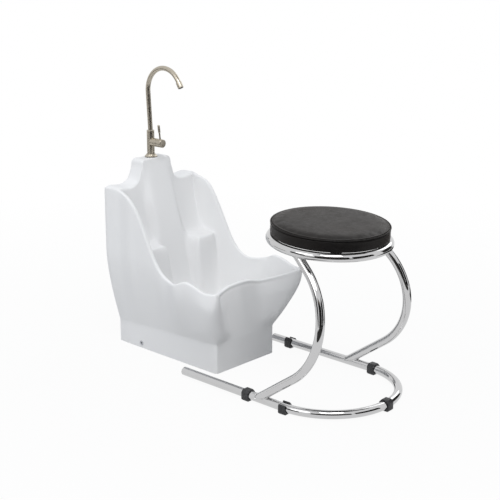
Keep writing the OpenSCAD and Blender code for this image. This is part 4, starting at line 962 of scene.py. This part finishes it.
round_way = np.arange(240) * 2 * np.pi / 240
ring_centres = RING_R * np.stack([np.cos(round_way), np.sin(round_way), 0 * round_way], 1)
ring_ahead = np.stack([-np.sin(round_way), np.cos(round_way), 0 * round_way], 1)
ring_grid = in_seat(swept_rings(ring_centres, ring_ahead, TUBE_R, TUBE_SIDES))
joined(ring_solid("ring", ring_grid, chrome), "stool", "chromed_tube", "seat_ring")

LEG_FOOT_Y, LEG_RISE, LEG_RUN, LEG_BEND_R, LEG_TURN, LEG_TOP = -0.183, 35.7, 0.163, 0.188, 107, 0.075
LEG_LEAN, LEG_SPLAY = math.radians(7.4), math.radians(7.3)
LEG_SIDES, TRIM_STEPS = 56, 400
leg_points, leg_headings = path_of((0, 0), 180 - LEG_RISE,
                                   [(LEG_RUN, 0), (LEG_BEND_R, -LEG_TURN), (LEG_TOP, 0)], 0.005)
leg_stance = about(2, LEG_SPLAY) @ about(1, -LEG_LEAN)


def leg_wall(radius):
    """Rings of the right leg's wall. Its first ring slides along the tube to the rail's surface, where
    the distance to the rail's axis is its radius, and its last ring to where the ring's tube begins.
    Rings along the two straights keep its reflections from being bent by long faces."""
    grid = plane_rings(leg_points, leg_headings, radius, LEG_SIDES)
    grid = grid @ leg_stance.T + (RAIL_HALF, LEG_FOOT_Y, TUBE_H)
    start, way = grid[0].copy(), (grid[1] - grid[0]) / np.linalg.norm(grid[1] - grid[0], axis=1)[:, None]
    p, d = start[:, [0, 2]] - (RAIL_HALF, TUBE_H), way[:, [0, 2]]
    a, b, c = (d * d).sum(1), (p * d).sum(1), (p * p).sum(1) - TUBE_R ** 2
    t = (-b + np.sqrt(np.maximum(0, b * b - a * c))) / a
    grid[0] = start + way * t[:, None]
    run = np.linspace(0, 1, TRIM_STEPS)[None, :, None]
    line = from_room(grid[-2][:, None] + (grid[-1] - grid[-2])[:, None] * run)
    away = np.hypot(np.hypot(line[..., 0], line[..., 1]) - RING_R, line[..., 2]) - TUBE_R
    met = (away < 0) | (line[..., 2] > -0.001)
    first = np.where(met.any(1), met.argmax(1), TRIM_STEPS - 1)
    grid[-1] = in_seat(line[np.arange(LEG_SIDES), first])
    lower = [blend_between(grid[0], grid[1], t) for t in (0.12, 0.25, 0.5, 0.75)]
    upper = [blend_between(grid[-2], grid[-1], t) for t in (0.3, 0.6, 0.85)]
    return np.concatenate([grid[:1], np.stack(lower), grid[1:-1], np.stack(upper), grid[-1:]])


def loop_ahead(loop):
    """The way ahead at each point of a closed loop, from its neighbour before to its neighbour after."""
    way = np.roll(loop, -1, 0) - np.roll(loop, 1, 0)
    return way / np.linalg.norm(way, axis=1)[:, None]


WELD_R, WELD_SIDES = 0.0017, 10
leg_outer, leg_inner = leg_wall(TUBE_R), leg_wall(TUBE_R - TUBE_WALL)
for side_name, mirror in (("right", 1), ("left", -1)):
    flip = (mirror, 1, 1)
    joined(pipe(side_name + "_c_leg", leg_outer * flip, leg_inner * flip, chrome),
           "stool", "chromed_tube", side_name + "_leg")
    # Each weld is a thin ring along the joint, whose radius ripples as r (1 + 0.12 sin 60 a).
    for name, joint in (("_foot_weld", leg_outer[0]), ("_top_weld", leg_outer[-1])):
        seam = smooth_loop(along_loop(joint, 1), 3)
        a = np.arange(len(seam)) * 2 * np.pi / len(seam)
        bead = swept_rings(seam, loop_ahead(seam), WELD_R * (1 + 0.12 * np.sin(60 * a)), WELD_SIDES,
                           (0.3, 0.2, 1.0))
        joined(ring_solid(side_name + name, bead * flip, chrome), "stool", "chromed_tube")

# ---------------------------------------------------------------- rail end plugs
# Light grey plastic plugs with a low dome, pushed into the rails' open ends.
plug_grey = moulded("light grey plastic", (0.56, 0.56, 0.545), 0.38)
for side_name, x, replaced in (("right", RAIL_HALF, ["rail_end_plugs"]), ("left", -RAIL_HALF, [])):
    turned_piece(side_name + "_end_plug", "stool", replaced, plug_grey, [
        (0.02, -16, 0), (10.9, -16, .5), (10.9, 0, 0), (12.5, 0, .2), (12.5, 1.6, 1.0), (9.0, 4.1, 5.5),
        (0.02, 5.5, 0)], (x, RAIL_END_Y, TUBE_H), (0, 1, 0), 72, slot="grey_plastic")

# ---------------------------------------------------------------- foot clips
# Black plastic collars with chamfered corners, snapped over the tube through the slot in their side.
# They carry the loop 4 mm off the floor and keep it from scratching.
CLIP_WALL, CLIP_LEN, CLIP_FIT = 0.0035, 0.024, 0.0003
CLIP_HALF = TUBE_R + CLIP_WALL
clip_black = moulded("black clip plastic", (0.020, 0.020, 0.022), 0.42, 700.0, (0.10, 0.10, 0.105))


def clip_outline(angles):
    """Distance from the tube's axis to the collar's outside: a square of CLIP_HALF with a foot below,
    chamfered at its corners, met along each angle."""
    h, low = CLIP_HALF, -TUBE_H
    below, beside, above = 4 * MM, 8 * MM, 7 * MM
    half = [(h - below, low), (h, low + below), (h, h - beside), (h - above, h)]
    corners = rounded([(below - h, low)] + half + [(-x, z) for x, z in half[:0:-1]], 0.0012, 4)
    dense = np.concatenate([blend_between(corners, np.roll(corners, -1, 0), t) for t in np.arange(8) / 8])
    a = np.arctan2(dense[:, 1], dense[:, 0])
    order = np.argsort(a)
    return np.interp(angles, a[order], np.hypot(*dense[order].T), period=2 * np.pi)


def collar(name, x, y, turn, slot_at, slot_half, *replaced):
    """A clip across the tube at (x, y): its section runs from one side of the slot round to the other,
    outside and inside, and is carried along the tube with a small chamfer at both ends."""
    a = np.radians(slot_at) + np.linspace(slot_half, 2 * np.pi - slot_half, 121)
    reach = clip_outline(a)
    rows = []
    for along, inset in ((-.5, .0009), (-.465, .0002), (-.44, 0), (.44, 0), (.465, .0002), (.5, .0009)):
        out = reach - inset
        hole = np.full_like(a, TUBE_R + CLIP_FIT + inset * 0.3)
        loop = np.concatenate([np.stack([out * np.cos(a), out * np.sin(a)], 1),
                               np.stack([hole * np.cos(a), hole * np.sin(a)], 1)[::-1]])
        rows.append(np.column_stack([loop[:, 0], np.full(len(loop), along * CLIP_LEN), loop[:, 1]]))
    grid = np.stack(rows)
    count = len(a)
    faces = grid_faces(*grid.shape[:2])
    for row, flip in ((0, 1), (len(rows) - 1, -1)):
        k = np.arange(count - 1)
        base = row * 2 * count
        cap = np.stack([base + k, base + k + 1, base + 2 * count - 2 - k, base + 2 * count - 1 - k], 1)
        faces += cap[:, ::flip].tolist()
    points = grid.reshape(-1, 3) @ about(2, math.radians(turn)).T + (x, y, TUBE_H)
    joined(solid(name, points, faces, clip_black, 28), "stool", "black_plastic", *replaced)


def round_spot(a):
    """A place on the round front: angle a from the right rail, with the turn that squares a clip to it."""
    r = math.radians(a)
    return RAIL_HALF * math.cos(r), BEND_Y - RAIL_HALF * math.sin(r), -a


SLIT, WIDE_SLOT = 0.02, 0.62    # half the slot's angle in radians
collar("clip_near_rail", -RAIL_HALF, LEG_FOOT_Y + 0.039, 0, -90, SLIT, "rail_clips")
collar("clip_far_rail", RAIL_HALF, RAIL_END_Y - 0.066, 0, 78, WIDE_SLOT)
collar("clip_far_bend", *round_spot(3), -90, SLIT)
collar("clip_near_bend", *round_spot(177), 80, WIDE_SLOT)
collar("clip_front", *round_spot(87.4), -90, SLIT)

# ---------------------------------------------------------------- seat board and its fixings
# A round birch plywood board screwed down through four steel tabs that are welded inside the ring.
# T-nuts are pressed into its upper side under the foam.
BIRCH, BIRCH_GRAIN = (0.62, 0.47, 0.30), (0.50, 0.36, 0.21)
GLUE_LINE, KNOT = (0.36, 0.24, 0.14), (0.25, 0.15, 0.08)
plywood, tree, at = surface("birch plywood")
plies = add(tree, "ShaderNodeTexWave", {"Vector": at, "Scale": 165, "Distortion": 0.6, "Detail": 2},
            bands_direction="Z").outputs["Fac"]
fibres = noise(tree, at, 60, 5, 0.7, [1, 14, 14])
knots = noise(tree, at, 9, 3, 0.5, [1, 3, 1])
tone = layered(tree, BIRCH, (span(tree, fibres, 0.3, 0.75), 1, BIRCH_GRAIN),
               (span(tree, plies, 0.72, 0.9), 1, GLUE_LINE), (span(tree, knots, 0.66, 0.78), 0.6, KNOT))
finished(plywood, tree, Base_Color=tone, Roughness=span(tree, fibres, 0.2, 0.8, 0.55, 0.8),
         Normal=bump(tree, fibres, 0.3, 0.0004))
dressed(["seat_board"], plywood)
dressed(["seat_tabs", "seat_tnuts", "seat_screws"], zinc)

# ---------------------------------------------------------------- cushion
# A disc of firm foam in a black leatherette cover: a round top panel sewn to a side band over piping,
# pulled down over the board's edge and stapled underneath. Air and foam swell both panels.
CUSHION_TURNS, CUSHION_FINE = 96, 4
# Each row has a radius and a height in millimetres, from the underside's middle up to the crown.
CUSHION_ROWS = np.array([
    (20, 13.6), (60, 13.6), (100, 13.6), (124, 13.6), (129, 13.5), (132.5, 12.65), (138, 12.6), (150, 12.6),
    (159, 12.6), (163, 12.9), (165.2, 14.4), (166.1, 17.2), (166.3, 21.5), (166.3, 26.5), (166.2, 31.5),
    (166.0, 36.5), (165.7, 41.0), (165.5, 45.5), (165.3, 47.6), (163.9, 49.2), (160.5, 50.2), (155, 50.8),
    (147, 51.3), (136, 51.7), (122, 52.1), (105, 52.4), (85, 52.6), (62, 52.75), (38, 52.8),
    (16, 52.85)]) * MM
PINNED_ROWS, SEAM_ROW = 9, 17
BIGGEST_SWELL, CREASES_KEPT = 0.0028, 0.25


def swollen(grid):
    """The grid of points after cloth simulation: pressure inside, with the underside and the seam held.
    How far each point moves is capped, and smoothed round the seat."""
    points, faces = capped_rings(grid, grid[0].mean(0), grid[-1].mean(0))
    bag = plain_mesh("swelling_bag", points, facing_out(points, faces))
    held = bag.vertex_groups.new(name="held")
    cols = grid.shape[1]
    held.add(list(range(PINNED_ROWS * cols)), 1.0, "REPLACE")
    held.add(list(range(SEAM_ROW * cols, (SEAM_ROW + 1) * cols)), 0.9, "REPLACE")
    held.add([len(points) - 2], 1.0, "REPLACE")
    cloth = bag.modifiers.new("swell", "CLOTH")
    cloth.settings.quality = 6
    cloth.settings.use_pressure = True
    cloth.settings.uniform_pressure_force = 4
    cloth.settings.vertex_group_mass = "held"
    cloth.settings.tension_stiffness = cloth.settings.compression_stiffness = 25
    cloth.settings.bending_stiffness = 2
    cloth.settings.effector_weights.gravity = 0
    cloth.collision_settings.use_collision = False
    cloth.point_cache.frame_start, cloth.point_cache.frame_end = 1, 20
    scene = bpy.context.scene
    for step in range(1, 21):
        scene.frame_set(step)
    shape = bag.evaluated_get(bpy.context.evaluated_depsgraph_get()).to_mesh()
    moved = np.empty(len(shape.vertices) * 3)
    shape.vertices.foreach_get("co", moved)
    scene.frame_set(1)
    bpy.data.objects.remove(bag)
    shift = moved.reshape(-1, 3)[:-2].reshape(grid.shape) - grid
    size = np.linalg.norm(shift, axis=2, keepdims=True)
    shift *= np.minimum(1, BIGGEST_SWELL / np.maximum(size, 1e-9))
    even = along_loop(np.swapaxes(shift, 0, 1), 5).swapaxes(0, 1)
    return grid + even + CREASES_KEPT * (shift - even)


turn = np.arange(CUSHION_TURNS) * 2 * np.pi / CUSHION_TURNS
uneven = 1 + 0.0012 * np.sin(3 * turn + 0.8) + 0.0009 * np.sin(5 * turn + 2.1) + 0.0006 * np.sin(11 * turn)
coarse = np.stack([CUSHION_ROWS[:, :1] * np.cos(turn) * uneven, CUSHION_ROWS[:, :1] * np.sin(turn) * uneven,
                   np.broadcast_to(CUSHION_ROWS[:, 1:], (len(CUSHION_ROWS), CUSHION_TURNS))], -1)
coarse = swollen(coarse)

# Finer rows and columns, then the seam: the side band and the top panel dip into it on both sides, and the
# stitches gather the leatherette into faint puckers. Each hump has a height, a middle and a width in
# millimetres, and `past` is the distance past the seam.
row_at = np.unique(np.concatenate([np.arange(start, end, step) for start, end, step in (
    (0, 8, 1), (8, 12, 0.5), (12, 16, 0.25), (16, 19, 0.07), (19, 22, 0.2), (22, 29.01, 0.4))]))
fine = smooth_loop(np.swapaxes(curve_at(coarse, row_at), 0, 1), CUSHION_FINE).swapaxes(0, 1)
seam_curve = smooth_loop(coarse[SEAM_ROW], CUSHION_FINE)
ahead = np.gradient(fine, axis=0)
round_by = np.roll(fine, -1, 1) - np.roll(fine, 1, 1)
outward = np.cross(round_by, ahead)
outward /= np.linalg.norm(outward, axis=2, keepdims=True) + 1e-12
steps = np.linalg.norm(np.diff(fine, axis=0), axis=2).mean(1)
run = np.concatenate([[0], np.cumsum(steps)])
past = ((run - np.interp(SEAM_ROW, row_at, run)) / MM)[:, None]
turn = (np.arange(fine.shape[1]) * 2 * np.pi / fine.shape[1])[None]
stitches = np.sin(132 * turn + 1.5 * np.sin(7 * turn)) * np.clip(0.6 + 0.5 * np.sin(5 * turn + 1), 0, 1)
SEAM_SECTION = [(-3.6, -2.0, 1.5), (-2.6, 2.2, 1.2), (0.5, -6.5, 2.6), (0.6, 5.6, 1.9), (-0.5, 9.4, 1.6)]
drawn = (sum(height * hump(past, middle, width) for height, middle, width in SEAM_SECTION)
         + 0.16 * stitches * (hump(past, -4.2, 3.0) + 0.8 * hump(past, 5.2, 3.0)))
folds = (0.20 * np.sin(9 * turn + 2.2 * np.sin(2 * turn)) * hump(past, -24, 7.0)
         + 0.12 * np.sin(23 * turn + 2.9 * np.sin(3 * turn)) * hump(past, -29, 3.5))
fine = fine + outward * ((drawn + folds) * MM)[..., None]

leatherette, tree, at = surface("dark leatherette")
cloud, speck = marks(tree, at, 26, 0.6)
cells = add(tree, "ShaderNodeTexVoronoi", {"Vector": at, "Scale": 780, "Randomness": 0.9},
            feature="DISTANCE_TO_EDGE").outputs["Distance"]
creases = noise(tree, at, 90, 4, 0.6)
shade = noise(tree, at, 7, 3, 0.5)
pores = noise(tree, at, 2600, 2, 0.6)
tone = layered(tree, (0.0036, 0.0032, 0.0032), (span(tree, shade, 0.3, 0.7), 1, (0.0066, 0.0048, 0.0040)),
               (cloud, 0.5, (0.016, 0.014, 0.013)), (speck, 0.6, (0.09, 0.085, 0.08)))
rough = plus(tree, span(tree, creases, 0.3, 0.7, 0.40, 0.50), cloud, 0.15)
grain = plus(tree, plus(tree, span(tree, cells, 0.0, 0.22), pores, 0.25), creases, 0.8)
finished(leatherette, tree, Base_Color=tone, Roughness=rough, Specular_IOR_Level=0.19,
         Sheen_Weight=0.04, Sheen_Roughness=0.45, Sheen_Tint=(1.0, 0.80, 0.68),
         Normal=bump(tree, grain, 0.32, 0.00022))

points, faces = capped_rings(in_seat(fine), in_seat(fine[0].mean(0)), in_seat(fine[-1].mean(0)))
cushion = joined(solid("cushion", points, faces, leatherette, 60),
                 "stool", "dark_leatherette", "seat_cover", "seat_foam")

# ---------------------------------------------------------------- piping
# A thin cord in its own strip of leatherette, caught in the seam all round. It stands a little proud of
# both panels.
PIPING_R, PIPING_OUT = 0.0018, 0.0004
seam_line = seam_curve + np.stack([np.cos(turn[0]), np.sin(turn[0]), 0 * turn[0]], 1) * PIPING_OUT
piping_grid = swept_rings(seam_line, loop_ahead(seam_line), PIPING_R * (1 + 0.05 * stitches[0]), 14)
joined(ring_solid("piping", in_seat(piping_grid), leatherette, 60), "stool", "dark_leatherette", "seat_welt")

# ---------------------------------------------------------------- undercloth
# A disc of thin black cloth stapled under the board, which hides it and the turned-in leatherette.
# It hangs a little between its fixings.
CLOTH_R, CLOTH_TURNS, CLOTH_RINGS = 0.1315, 120, 26
CLOTH_H, MIDDLE_SAG, EDGE_SAG = 0.0132, 0.00045, 0.00018
black_cloth, tree, at = surface("black undercloth")
warp, weft = (add(tree, "ShaderNodeTexWave", {"Vector": at, "Scale": 420}, bands_direction=way).outputs["Fac"]
              for way in "XY")
fuzz = noise(tree, at, 700, 3, 0.7)
weave = combined(tree, combined(tree, warp, weft, "MAXIMUM"), fuzz)
lint = marks(tree, at, 40, 0.8)[1]
tone = layered(tree, (0.010, 0.010, 0.011), (weave, 1, (0.032, 0.032, 0.034)),
               (lint, 0.7, (0.12, 0.11, 0.10)))
finished(black_cloth, tree, Base_Color=tone, Roughness=0.9, Sheen_Weight=0.25, Specular_IOR_Level=0.2,
         Normal=bump(tree, weave, 0.4, 0.0003))
out = (np.arange(1, CLOTH_RINGS + 1) / CLOTH_RINGS)[:, None]
a = (np.arange(CLOTH_TURNS) * 2 * np.pi / CLOTH_TURNS)[None]
between_staples = (1 - np.cos(16 * a + 0.3 * np.sin(3 * a))) / 2
sag = MIDDLE_SAG * (1 - out ** 2) + EDGE_SAG * out ** 2 * between_staples
cloth_grid = np.stack([CLOTH_R * out * np.cos(a), CLOTH_R * out * np.sin(a), CLOTH_H - sag], -1)
cloth_faces = grid_faces(CLOTH_RINGS, CLOTH_TURNS) + [
    (CLOTH_RINGS * CLOTH_TURNS, (j + 1) % CLOTH_TURNS, j) for j in range(CLOTH_TURNS)]
cloth_points = in_seat(np.vstack([cloth_grid.reshape(-1, 3), [[0, 0, CLOTH_H - MIDDLE_SAG]]]))
undercloth = shaded(plain_mesh("undercloth", cloth_points, [f[::-1] for f in cloth_faces], black_cloth), 60)
joined(undercloth, "stool", "black_cloth", "seat_undercloth")

# ---------------------------------------------------------------- sizes
# Both boxes, of the solids and of this model, are put side by side as plain lists of metres, which
# show whether the model has kept the size of its solids.
def plain_lists(value):
    """Vectors and tuples as lists of rounded numbers."""
    return [plain_lists(v) if hasattr(v, "__len__") else round(float(v), 5) for v in value]


{"cad": plain_lists(cad_box), "visual": plain_lists(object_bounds())}
